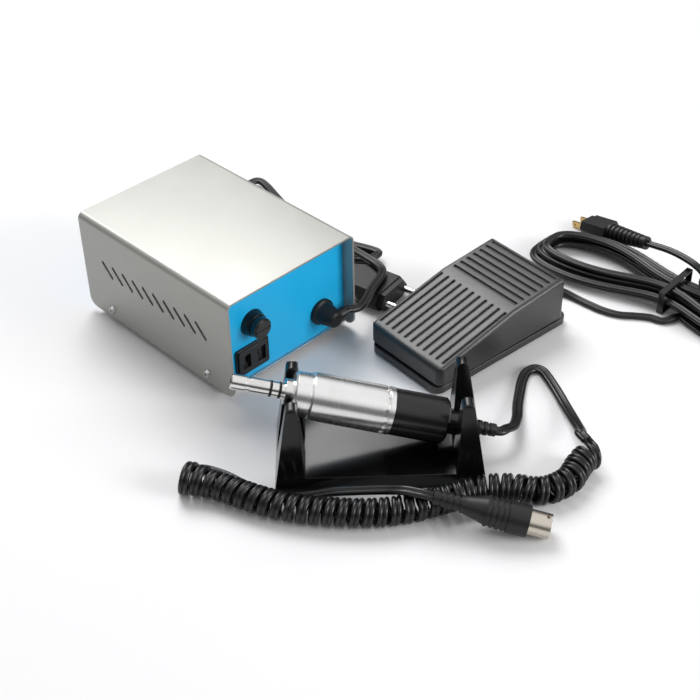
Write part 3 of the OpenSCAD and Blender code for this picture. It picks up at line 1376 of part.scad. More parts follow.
// The mains cord's hank: loops in two layers, from the top one down
mhank_at = [54.2, 100.3];
mhank_yaw = 89.4;
mhank_l = 131;
mhank_w = 36;
mhank_draw = 5.4;
mhank_waist = 0;
mhank_step = 7.4;
mhank_per = 1.5;
mhank_layers = 2;
mhank_rise = mains_t + 0.7;
mhank_bow = -21;
mhank_from = 13;
mhank_to = 72;
mhank_loops = [for (k = [mhank_to:-1:mhank_from])
    turned(hank_point(k / 24, mhank_l, mhank_w, mhank_draw, mhank_waist, mhank_step, mhank_per,
        mhank_layers, mhank_rise, mhank_bow, -1), mhank_at, mhank_yaw) + [0, 0, mains_t / 2 + fit]];

// Where the pedal plug's and the mains plug's strain reliefs end, and which way they point
blade_dir = [cos(blade_yaw) * cos(blade_tilt), sin(blade_yaw) * cos(blade_tilt), -sin(blade_tilt)];
blade_end = blade_at - blade_dir * (blade_plug_l + blade_relief_l);
euro_dir = [cos(euro_yaw), sin(euro_yaw), 0];
euro_end = [euro_at[0], euro_at[1], euro_t / 2 + fit] - euro_dir * (euro_l + euro_relief_l);
phank_path = concat(phank_loops, pedal_tail, [blade_end - blade_dir * pcord_w, blade_end]);
phank_tube = flat_rings(phank_path, pcord_w, pcord_t, 6);
mhank_path = concat(mhank_loops, mains_tail, [euro_end - euro_dir * mains_w, euro_end]);
mhank_tube = flat_rings(mhank_path, mains_w, mains_t, 6);

module pedal_hank() color([0.08, 0.08, 0.08]) tube(phank_tube);
module mains_hank() color([0.08, 0.08, 0.08]) tube(mhank_tube);

module pedal_lead() color([0.08, 0.08, 0.08]) {
    a = pedal_yaw;
    out = [cos(a), sin(a), 0];
    start = [pedal_x, pedal_y, gland_z] + out * (pedal_l / 2 + gland_l);
    in = phank_loops[0];
    way = unit(phank_loops[1] - in);
    flat_cord(concat([start, start + out * 3], pedal_route, [in - way * pcord_w, in]), pcord_w, pcord_t);
}

module mains_lead() color([0.08, 0.08, 0.08]) {
    start = [box_x - box_w / 2 + bush_x + bush_exit_l, box_y - box_l / 2 + exit_y, foot_h + bush_z];
    in = mhank_loops[0];
    way = unit(mhank_loops[1] - in);
    flat_cord(concat([start, start + [3, 0, 0]], mains_route, [in - way * mains_w, in]), mains_w, mains_t);
}

// A wire tie: a flat band round a hank's waist
module tie(at, yaw, w, h, waist, shift) translate([at[0], at[1], 0]) rotate(yaw)
    translate([waist - tie_w / 2, shift - w / 2 - tie_t, fit]) difference() {
        cube([tie_w, w + 2 * tie_t, h + 2 * tie_t]);
        translate([-1, tie_t, tie_t]) cube([tie_w + 2, w, h]);
    }

module cord_ties() color([0.10, 0.10, 0.10]) {
    slack = 1;
    phank_shift = phank_bow * pow(phank_waist / (phank_l / 2), 2);
    phank_waist_w = phank_w - 2 * phank_draw + pcord_w + slack;
    mhank_waist_w = mhank_w - 2 * mhank_draw + mains_w + slack;
    phank_h = (phank_layers - 1) * phank_rise + pcord_t + slack;
    tie(phank_at, phank_yaw, phank_waist_w, phank_h, phank_waist, phank_shift);
    tie(mhank_at, mhank_yaw, mhank_waist_w, mhank_rise + mains_t + slack, mhank_waist, 0);
}

// Spring: eight rings to a curl, its ends flat on the base and under the treadle
spring_mid = (spring_d - spring_wire) / 2;
spring_rise = spring_top - base_top - 0.4 - spring_wire;
spring_path = [for (k = [0:8 * spring_turns]) [
    spring_x + spring_mid * cos(45 * k),
    spring_mid * sin(45 * k),
    base_top + 0.2 + spring_wire / 2 + spring_rise * k / (8 * spring_turns)]];
spring_tube = [for (i = [0:len(spring_path) - 1])
    ring(spring_path[i], heading(spring_path, i), [0, 0, 1], spring_wire, spring_wire, 6)];
module pedal_spring() color([0.78, 0.78, 0.78]) pedal_frame() tube(spring_tube);

echo(lever_ratio = lever_ratio, lever_z = lever_z);
echo(coil_gap = self_gap(curl_tube, curl_path, lead_w * 2, 5), coil_length = coil_l);
echo(pedal_hank_gap = self_gap(phank_tube, phank_path, pcord_w * 2.2, 5));
echo(mains_hank_gap = self_gap(mhank_tube, mhank_path, mains_w * 2.2, 5));
echo(spring_gap = self_gap(spring_tube, spring_path, spring_wire * 5, 5));

case_cover();
chassis();
rear_panel();
front_panel();
cover_screws();
box_feet();
transformer_core();
transformer_coil();
circuit_board();
fuse_holder();
fuse_cap();
fuse();
pedal_outlet();
cord_bush();
speed_pot();
speed_knob();
power_switch();
power_rocker();
direction_switch();
direction_rocker();
motor_socket();
indicator_lens();
pedal_base();
treadle();
hinge_pin();
pedal_spring();
microswitch();
switch_lever();
pedal_gland();
pedal_feet();
stand();
coupling_nose();
nose_o_rings();
front_ring();
motor_sleeve();
stator_magnets();
shaft_bearings();
rear_sleeve();
rear_cap();
brush_gear();
handpiece_relief();
rotor_shaft();
armature();
commutator();
drive_dog();
curly_lead();
curly_coil();
curly_tail();
din_boot();
din_shell();
din_pins();
mains_lead();
mains_hank();
euro_plug();
euro_pins();
pedal_lead();
pedal_hank();
pedal_plug();
plug_blades();
cord_ties();
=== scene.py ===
"""Looks of a dental lab micromotor: a control box, a foot pedal, and a motor handpiece that rests
on a desk stand, with their cords and plugs. Metres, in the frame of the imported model."""

import math

import bpy
import numpy as np
from mathutils import Matrix, Vector


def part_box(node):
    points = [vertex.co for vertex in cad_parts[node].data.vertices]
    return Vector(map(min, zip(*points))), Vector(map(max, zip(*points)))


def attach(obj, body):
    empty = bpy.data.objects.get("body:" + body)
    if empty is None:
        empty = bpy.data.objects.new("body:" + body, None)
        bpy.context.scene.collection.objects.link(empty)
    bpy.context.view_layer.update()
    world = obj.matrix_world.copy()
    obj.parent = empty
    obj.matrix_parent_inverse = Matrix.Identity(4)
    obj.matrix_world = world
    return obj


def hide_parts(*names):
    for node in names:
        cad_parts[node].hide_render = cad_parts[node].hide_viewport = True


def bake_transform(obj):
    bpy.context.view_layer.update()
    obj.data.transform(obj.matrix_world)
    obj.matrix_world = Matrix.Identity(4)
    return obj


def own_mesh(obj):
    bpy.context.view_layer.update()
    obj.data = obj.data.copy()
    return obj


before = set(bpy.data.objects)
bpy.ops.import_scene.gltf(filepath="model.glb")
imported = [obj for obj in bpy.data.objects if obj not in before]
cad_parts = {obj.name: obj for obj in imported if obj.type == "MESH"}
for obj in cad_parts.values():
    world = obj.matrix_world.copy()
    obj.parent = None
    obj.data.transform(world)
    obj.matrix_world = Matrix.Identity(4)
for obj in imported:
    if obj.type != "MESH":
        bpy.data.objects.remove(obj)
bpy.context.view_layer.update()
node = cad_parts
scene = bpy.context.scene
scene.view_settings.view_transform = "Standard"


# Camera: it stands to the front left of the set and looks down on it at 38 degrees, turned a
# little about its own line of sight, through a 72 mm lens.
view_point = (-0.4543, -0.4753, 0.5118)
heading, dip, bank = (math.radians(a) for a in (-44.17, 38.34, -1.24))
level = Vector((-math.sin(heading), math.cos(heading), 0))
across = Vector((math.cos(heading), math.sin(heading), 0))
ahead = level * math.cos(dip) - Vector((0, 0, math.sin(dip)))
above = Vector((0, 0, math.cos(dip))) + level * math.sin(dip)
lens = bpy.data.cameras.new("photo_camera")
lens.lens = 72
lens.sensor_width = 36
lens.clip_start = 0.05
lens.clip_end = 50
camera = bpy.data.objects.new("photo_camera", lens)
right = across * math.cos(bank) + above * math.sin(bank)
up = above * math.cos(bank) - across * math.sin(bank)
turn = Matrix((right, up, -ahead)).transposed().to_4x4()
camera.matrix_world = Matrix.Translation(view_point) @ turn
scene.collection.objects.link(camera)
scene.camera = camera


# Handpiece lead: a flat two-lobed cord in soft black vinyl. It leaves the strain relief over the
# table, bends once round and goes into the curly cord.
def smooth_line(points, steps):
    """A smooth line through the points: each stretch is a cubic whose slope at a point is half the
    chord across its two neighbours, sampled steps times."""
    p = np.asarray(points, float)
    m = len(p) - 1
    i = np.arange(m)
    a, b, c, d = p[np.maximum(i - 1, 0)], p[:-1], p[1:], p[np.minimum(i + 2, m)]
    a, b, c, d = (q[:, None, :] for q in (a, b, c, d))
    t = (np.arange(steps) / steps)[None, :, None]
    line = 0.5 * (2 * b + (c - a) * t + (2 * a - 5 * b + 4 * c - d) * t**2
                  + (3 * b - a - 3 * c + d) * t**3)
    return np.vstack([line.reshape(-1, 3), p[-1:]])


def unit(v):
    """Each vector divided by its length."""
    v = np.asarray(v, float)
    return v / np.linalg.norm(v, axis=-1, keepdims=True)


def grid_mesh(name, grid, close_ends=True):
    """A mesh over a grid of points, rows along it and columns round it, closed round, with a fan
    to each end's middle. Faces point outwards where the columns turn left about the rows' way."""
    rows, cols = grid.shape[:2]
    r, c = np.meshgrid(np.arange(rows - 1), np.arange(cols), indexing="ij")
    nxt = (c + 1) % cols
    quads = np.stack([r * cols + c, r * cols + nxt, (r + 1) * cols + nxt, (r + 1) * cols + c], -1)
    verts, faces = grid.reshape(-1, 3), quads.reshape(-1, 4).tolist()
    if close_ends:
        k = np.arange(cols)
        n, last = len(verts), (rows - 1) * cols
        verts = np.vstack([verts, grid[0].mean(0), grid[-1].mean(0)])
        faces += np.stack([np.full(cols, n), (k + 1) % cols, k], -1).tolist()
        faces += np.stack([np.full(cols, n + 1), last + k, last + (k + 1) % cols], -1).tolist()
    mesh = bpy.data.meshes.new(name)
    mesh.from_pydata(verts.tolist(), [], faces)
    mesh.validate()
    mesh.shade_smooth()
    piece = bpy.data.objects.new(name, mesh)
    scene.collection.objects.link(piece)
    return piece


def vinyl_cord(name, line, up, width, thick, web=0.5):
    """A flat cord along a line, of that width and thickness: two round strands side by side,
    joined by a web, whose thickness is a share of theirs."""
    line = np.asarray(line, float)
    way = unit(np.gradient(line, axis=0))
    side = unit(np.cross(way, up))
    top = np.cross(side, way)
    # round the right strand from the web's lower side to its upper side, and back round the left
    a = np.radians(np.r_[-140, -115:116:28.75, 140])
    u = np.r_[0, 0.5 + 0.5 * np.cos(a), 0, -0.5 - 0.5 * np.cos(a[::-1])]
    v = np.r_[-web, np.sin(a), web, np.sin(a[::-1])]
    half_w = np.broadcast_to(np.asarray(width, float) / 2, (len(line),))[:, None, None]
    half_t = np.broadcast_to(np.asarray(thick, float) / 2, (len(line),))[:, None, None]
    grid = (line[:, None, :] + side[:, None, :] * half_w * u[None, :, None]
            + top[:, None, :] * half_t * v[None, :, None])
    return grid_mesh(name, grid)


def effect_group(name, inputs):
    """An empty shader node group with these inputs, each a name and a default, which is to put out
    a colour, a roughness and a normal."""
    group = bpy.data.node_groups.new(name, "ShaderNodeTree")
    for title, value in inputs:
        kind = "NodeSocketFloat" if isinstance(value, (int, float)) else (
            "NodeSocketVector" if len(value) == 3 else "NodeSocketColor")
        group.interface.new_socket(title, in_out="INPUT", socket_type=kind).default_value = value
    for title, kind in (("Color", "Color"), ("Roughness", "Float"), ("Normal", "Vector")):
        group.interface.new_socket(title, in_out="OUTPUT", socket_type="NodeSocket" + kind)
    return group, group.nodes.new("NodeGroupInput"), group.nodes.new("NodeGroupOutput")


def add_node(tree, kind, wires=(), **settings):
    """A node of this kind with its settings. A wire names one of its inputs, by title or number,
    and holds a value or the output that feeds it."""
    made = tree.nodes.new("ShaderNode" + kind)
    for key, value in settings.items():
        setattr(made, key, value)
    for title, source in wires:
        socket = made.inputs[title]
        if isinstance(source, bpy.types.NodeSocket):
            tree.links.new(source, socket)
        else:
            socket.default_value = source
    return made


def remap(tree, value, span, onto):
    """The value with the first span of numbers laid onto the second, and held inside it."""
    return add_node(tree, "MapRange", [("Value", value), ("From Min", span[0]),
                                       ("From Max", span[1]), ("To Min", onto[0]),
                                       ("To Max", onto[1])]).outputs[0]


def put_out(group, out, **sources):
    """Each source goes to the group's output of that name."""
    for title, source in sources.items():
        group.links.new(source, out.inputs[title])
    return group


def moulded_skin_group():
    """Moulded plastic or rubber: a fine grain in the surface, a slow change of gloss as from
    handling, and edges rubbed a little lighter."""
    group, given, out = effect_group(
        "moulded_skin",
        [("Colour", (0.02, 0.02, 0.02, 1)), ("Rubbed colour", (0.1, 0.1, 0.1, 1)),
         ("Grain size", 0.0005), ("Grain depth", 0.00003), ("Gloss", 0.5), ("Gloss change", 0.12),
         ("Edge", 0.0003)])
    place = add_node(group, "TexCoord").outputs["Object"]
    finer = add_node(group, "Math", [(0, 1.0), (1, given.outputs["Grain size"])], operation="DIVIDE")
    grain = add_node(group, "TexNoise", [("Vector", place), ("Scale", finer.outputs[0]),
                                         ("Detail", 3.0), ("Roughness", 0.6)])
    cloud = add_node(group, "TexNoise", [("Vector", place), ("Scale", 38.0), ("Detail", 4.0)])
    soft = add_node(group, "Bevel", [("Radius", given.outputs["Edge"])], samples=4)
    flat = add_node(group, "NewGeometry")
    meet = add_node(group, "VectorMath", [(0, soft.outputs[0]), (1, flat.outputs["Normal"])],
                    operation="DOT_PRODUCT")
    edge = remap(group, meet.outputs["Value"], (0.995, 0.86), (0.0, 1.0))
    worn = add_node(group, "Math", [(0, edge), (1, cloud.outputs["Fac"])], operation="MULTIPLY")
    shade = remap(group, grain.outputs["Fac"], (0.3, 0.7), (0.86, 1.12))
    tinted = add_node(group, "VectorMath", [(0, given.outputs["Colour"]), (3, shade)],
                      operation="SCALE")
    mixed = add_node(group, "Mix", [("Factor", worn.outputs[0]), (6, tinted.outputs[0]),
                                    (7, given.outputs["Rubbed colour"])], data_type="RGBA")
    swing = add_node(group, "Math", [(0, cloud.outputs["Fac"]), (1, 0.5)], operation="SUBTRACT")
    gloss = add_node(group, "Math", [(0, swing.outputs[0]), (1, given.outputs["Gloss change"]),
                                     (2, given.outputs["Gloss"])], operation="MULTIPLY_ADD")
    bump = add_node(group, "Bump", [("Strength", 1.0), ("Distance", given.outputs["Grain depth"]),
                                    ("Height", grain.outputs["Fac"]), ("Normal", soft.outputs[0])])
    return put_out(group, out, Color=mixed.outputs[2], Roughness=gloss.outputs[0],
                   Normal=bump.outputs[0])


def finish(name, group, values, **constants):
    """A material of one effect group with its own values, and the shader's own constants."""
    made = bpy.data.materials.new(name)
    made.use_nodes = True
    tree = made.node_tree
    shader = tree.nodes["Principled BSDF"]
    effect = tree.nodes.new("ShaderNodeGroup")
    effect.node_tree = group
    for title, value in values.items():
        effect.inputs[title].default_value = value
    for title, socket in (("Color", "Base Color"), ("Roughness", "Roughness"),
                          ("Metallic", "Metallic"), ("Normal", "Normal")):
        if title in effect.outputs:
            tree.links.new(effect.outputs[title], shader.inputs[socket])
    for title, value in constants.items():
        shader.inputs[title.replace("_", " ")].default_value = value
    return made


moulded_skin = moulded_skin_group()
cord_vinyl = finish("cord_vinyl", moulded_skin, {
    "Colour": (0.005, 0.005, 0.0053, 1), "Rubbed colour": (0.012, 0.012, 0.012, 1),
    "Grain size": 0.0006, "Grain depth": 0.00001, "Gloss": 0.30, "Gloss change": 0.12,
    "Edge": 0.0002}, Specular_IOR_Level=0.45)

# the middle of the handpiece's front face, its axis, and how far behind it the relief ends
hand_face = np.array((-0.08876, -0.05519, 0.0448))
hand_way = unit((0.6968, -0.6635, -0.2723))
hand_long = 0.111
relief_tip = hand_face + hand_way * hand_long

# how far a cord starts inside its relief and runs straight out of it, and its gap to the table
tuck, straight, table_gap = 0.002, 0.003, 0.0001
lead_w, lead_t = 0.0062, 0.0031
lead_route = np.array([
    (-4, -131, 12.4), (3.2, -129.9, 9.2), (13.4, -124.1, 5.4), (24, -116, 3), (34, -109.2, 1.8),
    (43, -103.5, 1.7), (50.4, -100.5, 1.7), (56.4, -101.3, 1.7), (58, -105.9, 1.7),
    (55.4, -112.5, 1.7), (49.3, -123.7, 1.9), (41.5, -136.1, 2.8), (31.8, -149.7, 6),
    (23.6, -159.5, 10.2)]) / 1000

# the curly cord's axis in plan, its width and radius, and how far it turns at each of its steps
coil_route = np.array([
    (14.8, -173.9, 0), (9.8, -172.7, 0), (2, -174.1, 0), (-7.2, -176.5, 0), (-16.2, -175.5, 0),
    (-23.2, -172.5, 0), (-28.2, -167.5, 0), (-32.2, -160.9, 0), (-38.6, -153.9, 0),
    (-49.2, -146.3, 0), (-59.6, -141.7, 0), (-70.2, -136.9, 0), (-81.2, -131.7, 0),
    (-93, -123.3, 0), (-103.8, -112.7, 0), (-113, -101.3, 0), (-119.8, -91.7, 0),
    (-125.4, -82.1, 0), (-130, -71.9, 0), (-133.8, -60.9, 0), (-137.4, -50.1, 0),
    (-141.8, -40.3, 0), (-147.2, -32.5, 0)]) / 1000
curl_w, curl_r, curl_turn, curl_steps = 0.0053, 0.0062, 45, 284

# its last curls widen by the flare, which starts so many steps before the end and takes so many
flare, flare_from, flare_over = 0.0012, 24, 20
coil_line = smooth_line(coil_route, 6)
coil_run = np.r_[0, np.cumsum(np.linalg.norm(np.diff(coil_line, axis=0), axis=1))]
coil_long = coil_run[-1]


def along_coil(s):
    """Points of the coil's axis at the distances s from its start."""
    s = np.clip(s, 0, coil_long)
    return np.stack([np.interp(s, coil_run, coil_line[:, i]) for i in range(3)], -1)


def curl(k):
    """Points of the curl at the steps k, their way out from the axis and their way onward: a
    circle about the axis, which lies one radius and half a cord above the table."""
    upward = np.array((0, 0, 1))
    probe = 0.002
    s = coil_long * k / curl_steps
    side = np.cross(unit(along_coil(s + probe) - along_coil(s - probe)), upward)
    a = np.radians(90 + curl_turn * k)[:, None]
    out = side * np.cos(a) + upward * np.sin(a)
    onward = upward * np.cos(a) - side * np.sin(a)
    f = np.clip((k - curl_steps + flare_from) / flare_over, 0, 1)
    radius = (curl_r + flare * f * f * (3 - 2 * f))[:, None]
    lift = upward * (radius + lead_t / 2 + table_gap)
    return along_coil(s) + out * radius + lift, out, onward


first, _, first_way = curl(np.array([0.0]))
curl_in = first[0] - first_way[0] * lead_w

# how far the lead runs straight into the curls, and the samples to a stretch of a line
run_in, fine = 0.006, 8
lead_line = smooth_line(np.vstack([
    relief_tip - hand_way * tuck, relief_tip + hand_way * straight, lead_route,
    curl_in - first_way[0] * run_in, curl_in]), fine)
curly_lead = vinyl_cord("handpiece_lead", lead_line, (0, 0, 1), lead_w, lead_t)
curly_lead.data.materials.append(cord_vinyl)
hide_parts("curly_lead")
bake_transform(curly_lead)


# Curly cord: the same cord wound into thirty-five tight curls that lie on the table in a long
# bend. Its far end lies back over them as a straight tail and goes into the motor plug.
din_mouth = np.array((-0.0408, -0.1903, 0.0068))
din_way = unit((0.5472, -0.8173, -0.1805))

# the motor plug's length along its axis: the bare shell, the boot's body and the boot's taper
din_shell_out, din_boot_body, din_boot_taper = 0.011, 0.022, 0.027
din_tail_end = din_mouth - din_way * (din_shell_out + din_boot_body + din_boot_taper)
boot_run = 0.004  # how far the tail runs straight into the boot
tail_route = np.array([
    (-136.6, -26.1, 1.8), (-133.2, -26.9, 1.8), (-129.9, -30.9, 1.8), (-126.4, -40.5, 1.8),
    (-124.2, -51.9, 1.8), (-121.8, -63.5, 1.8), (-118.6, -71.7, 1.8), (-114, -76.9, 2),
    (-106, -84.9, 3.3), (-98.4, -93.3, 6), (-90.2, -105.6, 9.5), (-84, -117.4, 13.5),
    (-80.6, -127.4, 17.5), (-77.6, -134.3, 18.3)]) / 1000
curl_points, curl_out, curl_ways = curl(np.linspace(0, curl_steps, curl_steps * 3 + 1))
tail_line = smooth_line(np.vstack([
    curl_points[-3], curl_points[-1], curl_points[-1] + curl_ways[-1] * (lead_w + straight),
    tail_route, din_tail_end - din_way * boot_run, din_tail_end]), fine)[fine + 1:]
curly_line = np.vstack([curl_in[None], curl_points, tail_line])
down = np.broadcast_to((0, 0, -1.0), tail_line.shape)
curly_up = np.vstack([curl_out[:1], curl_out, down])

# the curls are narrower than the plain cord, and the width changes over so many points
curly_wide = np.r_[lead_w, np.full(len(curl_points), curl_w), np.full(len(tail_line), lead_w)]
change = 9
curly_wide = np.convolve(np.pad(curly_wide, change // 2, mode="edge"), np.ones(change) / change,
                         mode="valid")
curly_cord = vinyl_cord("curly_cord", curly_line, curly_up, curly_wide, lead_t, web=0.2)
curly_cord.data.materials.append(cord_vinyl)
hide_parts("curly_coil", "curly_tail")
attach(curly_cord, "unit")


# Mains cord: a flat two-core cord. It leaves the box sideways out of its bush, lies over the
# mains plug, and is folded into a hank of two layers behind the box with its plug beside it.
def hank_turns(k, long, wide, draw, waist, step, layers, rise, bow, way, at, yaw, low):
    """Points of a hank at the steps k, twenty-four to a loop: a flattened ellipse that shrinks for
    one and a half turns and grows for as many, one layer up each time, drawn in at the waist,
    where the tie lifts it a little. It is bowed by the square of the place along it."""
    per, loop_steps, fullness, climb = 1.5, 24, 0.6, 0.5
    waist_long, hump_long, hump = 0.040, 0.025, 0.001
    t = k / loop_steps
    a = np.radians(270 + 360 * t * way)
    inward = step * (per - np.abs(t - 2 * per * np.floor(t / (2 * per)) - per))
    x = (long / 2 - inward) * np.cos(a)
    half = wide / 2 - inward - draw * np.exp(-(((x - waist) / waist_long) ** 2))
    y = half * np.abs(np.sin(a)) ** fullness * np.sign(np.sin(a)) + bow * (x / (long / 2)) ** 2
    z = np.full_like(x, low)
    for layer in range(1, layers):
        u = np.clip((t - per * layer + climb / 2) / climb, 0, 1)
        z += rise * u * u * (3 - 2 * u)
    z += hump * np.exp(-(((x - waist) / hump_long) ** 2))
    c, s = math.cos(math.radians(yaw)), math.sin(math.radians(yaw))
    return np.stack([at[0] + x * c - y * s, at[1] + x * s + y * c, z], -1)


def hanked_line(start, route, loops, tail, end, end_way, width):
    """A cord's whole line: out of its relief along +X, by the route into the loops with their own
    heading, and out of them by the tail into its plug."""
    rightward = np.array((1.0, 0.0, 0.0))
    into = loops[0] - unit(loops[1] - loops[0]) * width
    first = smooth_line(np.vstack([
        start - rightward * tuck, start + rightward * straight, route, into, loops[0]]), 6)
    last = smooth_line(np.vstack([
        loops[-10], loops[-1], tail, end - end_way * width, end]), fine)[fine + 1:]
    return np.vstack([first[:-1], loops, last])


mains_w, mains_t = 0.0056, 0.0034
bush_end = np.array((0.0016, -0.0019, 0.0207))
mains_route = np.array([
    (7.9, -3.1, 19.9), (14.4, -3.3, 18.8), (23.4, 0.9, 17.6), (32.4, 5.9, 16.9), (40.8, 9.5, 16.4),
    (48.4, 12.9, 16), (53.4, 17.9, 15.5), (55.6, 24.9, 15.1), (56.6, 33.7, 14.7),
    (57.8, 44.7, 14), (60.2, 58.7, 13), (63.2, 72.7, 11.4), (65.8, 85.7, 8.6)]) / 1000
mains_tail = np.array([(38, 78.7, 2.4), (39.6, 60.7, 5)]) / 1000
euro_way = unit((math.cos(math.radians(-80)), math.sin(math.radians(-80)), 0))
euro_face, euro_long = np.array((0.0476, 0.0013, 0.0066)), 0.046
euro_tail_end = euro_face - euro_way * euro_long
layer_gap = 0.0007  # between the layers of a hank
mains_loops = hank_turns(
    np.linspace(72, 13, (72 - 13) * 3 + 1), long=0.131, wide=0.036, draw=0.0054, waist=0.0,
    step=0.0074, layers=2, rise=mains_t + layer_gap, bow=-0.021, way=-1, at=(0.0542, 0.1003),
    yaw=89.4, low=mains_t / 2 + table_gap)
mains_line = hanked_line(bush_end, mains_route, mains_loops, mains_tail, euro_tail_end, euro_way,
                         mains_w)
mains_cord = vinyl_cord("mains_cord", mains_line, (0, 0, 1), mains_w, mains_t)
mains_cord.data.materials.append(cord_vinyl)
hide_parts("mains_lead", "mains_hank")
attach(mains_cord, "unit")


# Pedal cord: a lighter flat cord from the pedal's gland into a long hank of four layers, drawn in
# where a wire tie holds it, with a two-blade plug that lies on the hank.
pedal_w, pedal_t = 0.0052, 0.0028

# the pedal's middle at the height of its gland, its heading, and how far off the gland ends
pedal_mid = np.array((0.0554, -0.0532, 0.0041))
pedal_way = np.array((0.9963, -0.0854, 0))
gland_reach = 0.060
gland_end = pedal_mid + pedal_way * gland_reach
pedal_route = np.array([
    (122.4, -60.3, 4), (126.4, -68.3, 2.6), (127.6, -77.3, 1.5), (128, -86.3, 1.5),
    (128.8, -95.3, 1.5), (131.8, -104.9, 1.5), (137.6, -112.9, 1.5), (142.6, -120.3, 1.5),
    (145.4, -128.3, 1.5)]) / 1000
pedal_tail = np.array([
    (184, -129.3, 15.4), (185.4, -121.3, 18.4), (187.2, -110.3, 18.8), (188.6, -99.3, 17.8)]) / 1000
nod, yaw = math.radians(12), math.radians(84.7)
blade_way = np.array((math.cos(yaw) * math.cos(nod), math.sin(yaw) * math.cos(nod), -math.sin(nod)))
blade_face, blade_long = np.array((0.1946, -0.0333, 0.00397)), 0.0505
blade_tail_end = blade_face - blade_way * blade_long
pedal_loops = hank_turns(
    np.linspace(2, 130, (130 - 2) * 3 + 1), long=0.150, wide=0.057, draw=0.0157, waist=0.020,
    step=0.0068, layers=4, rise=pedal_t + layer_gap, bow=-0.008, way=1, at=(0.1668, -0.0999),
    yaw=-86, low=pedal_t / 2 + table_gap)
pedal_line = hanked_line(gland_end, pedal_route, pedal_loops, pedal_tail, blade_tail_end,
                         blade_way, pedal_w)
pedal_cord = vinyl_cord("pedal_cord", pedal_line, (0, 0, 1), pedal_w, pedal_t)
pedal_cord.data.materials.append(cord_vinyl)
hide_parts("pedal_lead", "pedal_hank")
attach(pedal_cord, "unit")


# Table, room and lamps: a pale table top, a large soft lamp above and behind and a weaker, lower
# one in front. Metal and plastic mirror a pale ceiling and, low down, the dark room. Away from the
# set the camera sees the table fade to white.
rim = 4
fade_from, fade_to = 0.20, 0.55
table_top = bpy.data.meshes.new("table_top")
table_top.from_pydata([(-rim, -rim, 0), (rim, -rim, 0), (rim, rim, 0), (-rim, rim, 0)], [],
                      [(0, 1, 2, 3)])
floor = bpy.data.objects.new("table_top", table_top)
scene.collection.objects.link(floor)
laminate = bpy.data.materials.new("table_laminate")
laminate.use_nodes = True
tree = laminate.node_tree
shader = tree.nodes["Principled BSDF"]
shader.inputs["Roughness"].default_value = 0.55
shader.inputs["Specular IOR Level"].default_value = 0.25
spot = add_node(tree, "TexNoise", [("Vector", add_node(tree, "TexCoord").outputs["Object"]),
                                   ("Scale", 3.0), ("Detail", 2.0)])
pale = add_node(tree, "ValToRGB", [("Fac", spot.outputs["Fac"])])
pale.color_ramp.elements[0].color = (0.86, 0.86, 0.875, 1)
pale.color_ramp.elements[1].color = (0.90, 0.90, 0.91, 1)
tree.links.new(pale.outputs["Color"], shader.inputs["Base Color"])
reach = add_node(tree, "VectorMath", [(0, add_node(tree, "TexCoord").outputs["Object"])],
                 operation="LENGTH")
far = add_node(tree, "MapRange", [("Value", reach.outputs["Value"]), ("From Min", fade_from),
                                  ("From Max", fade_to)], interpolation_type="SMOOTHSTEP")
faded = add_node(tree, "Math", [(0, far.outputs[0]),
                                (1, add_node(tree, "LightPath").outputs["Is Camera Ray"])],
                 operation="MULTIPLY")
blank = add_node(tree, "Emission", [("Color", (1, 1, 1, 1)), ("Strength", 1.0)])
surface = add_node(tree, "MixShader", [(0, faded.outputs[0]), (1, shader.outputs[0]),
                                       (2, blank.outputs[0])])
tree.links.new(surface.outputs[0], tree.nodes["Material Output"].inputs["Surface"])
floor.data.materials.append(laminate)

surround = bpy.data.worlds.new("studio")
scene.world = surround
surround.use_nodes = True
tree = surround.node_tree
tree.nodes.clear()
rays = add_node(tree, "LightPath")
mirrored = add_node(tree, "Math", [(0, rays.outputs["Is Glossy Ray"]),
                                   (1, rays.outputs["Is Transmission Ray"])], operation="MAXIMUM")
height = add_node(tree, "SeparateXYZ", [(0, add_node(tree, "TexCoord").outputs["Generated"])])
room = add_node(tree, "ValToRGB", [("Fac", height.outputs["Z"])])
room.color_ramp.elements[0].color = (0.30, 0.30, 0.30, 1)
room.color_ramp.elements[1].position = 0.74
room.color_ramp.elements[1].color = (1.0, 1.0, 1.0, 1)
for position, tone in ((0.06, 0.10), (0.40, 0.12), (0.58, 0.80)):
    room.color_ramp.elements.new(position).color = (tone, tone, tone, 1)
lit = add_node(tree, "Mix", [("Factor", mirrored.outputs[0]), (6, (0.38, 0.38, 0.38, 1)),
                             (7, room.outputs["Color"])], data_type="RGBA")
seen = add_node(tree, "Mix", [("Factor", rays.outputs["Is Camera Ray"]), (6, lit.outputs[2]),
                              (7, (1, 1, 1, 1))], data_type="RGBA")
glow = add_node(tree, "Background", [("Color", seen.outputs[2])])
sky = tree.nodes.new("ShaderNodeOutputWorld")
tree.links.new(glow.outputs[0], sky.inputs["Surface"])

for name, place, aim, size, power in (
        ("lamp_above", (0.40, 0.95, 1.4), (0.0, 0.0, 0.0), 1.1, 24.0),
        ("lamp_front", (0.55, -1.4, 0.6), (0.0, 0.0, 0.03), 0.8, 18.0)):
    panel = bpy.data.lights.new(name, "AREA")
    panel.size = size
    panel.energy = power
    lamp = bpy.data.objects.new(name, panel)
    lamp.location = place
    lamp.rotation_mode = "QUATERNION"
    lamp.rotation_quaternion = (Vector(aim) - Vector(place)).to_track_quat("-Z", "Y")
    scene.collection.objects.link(lamp)


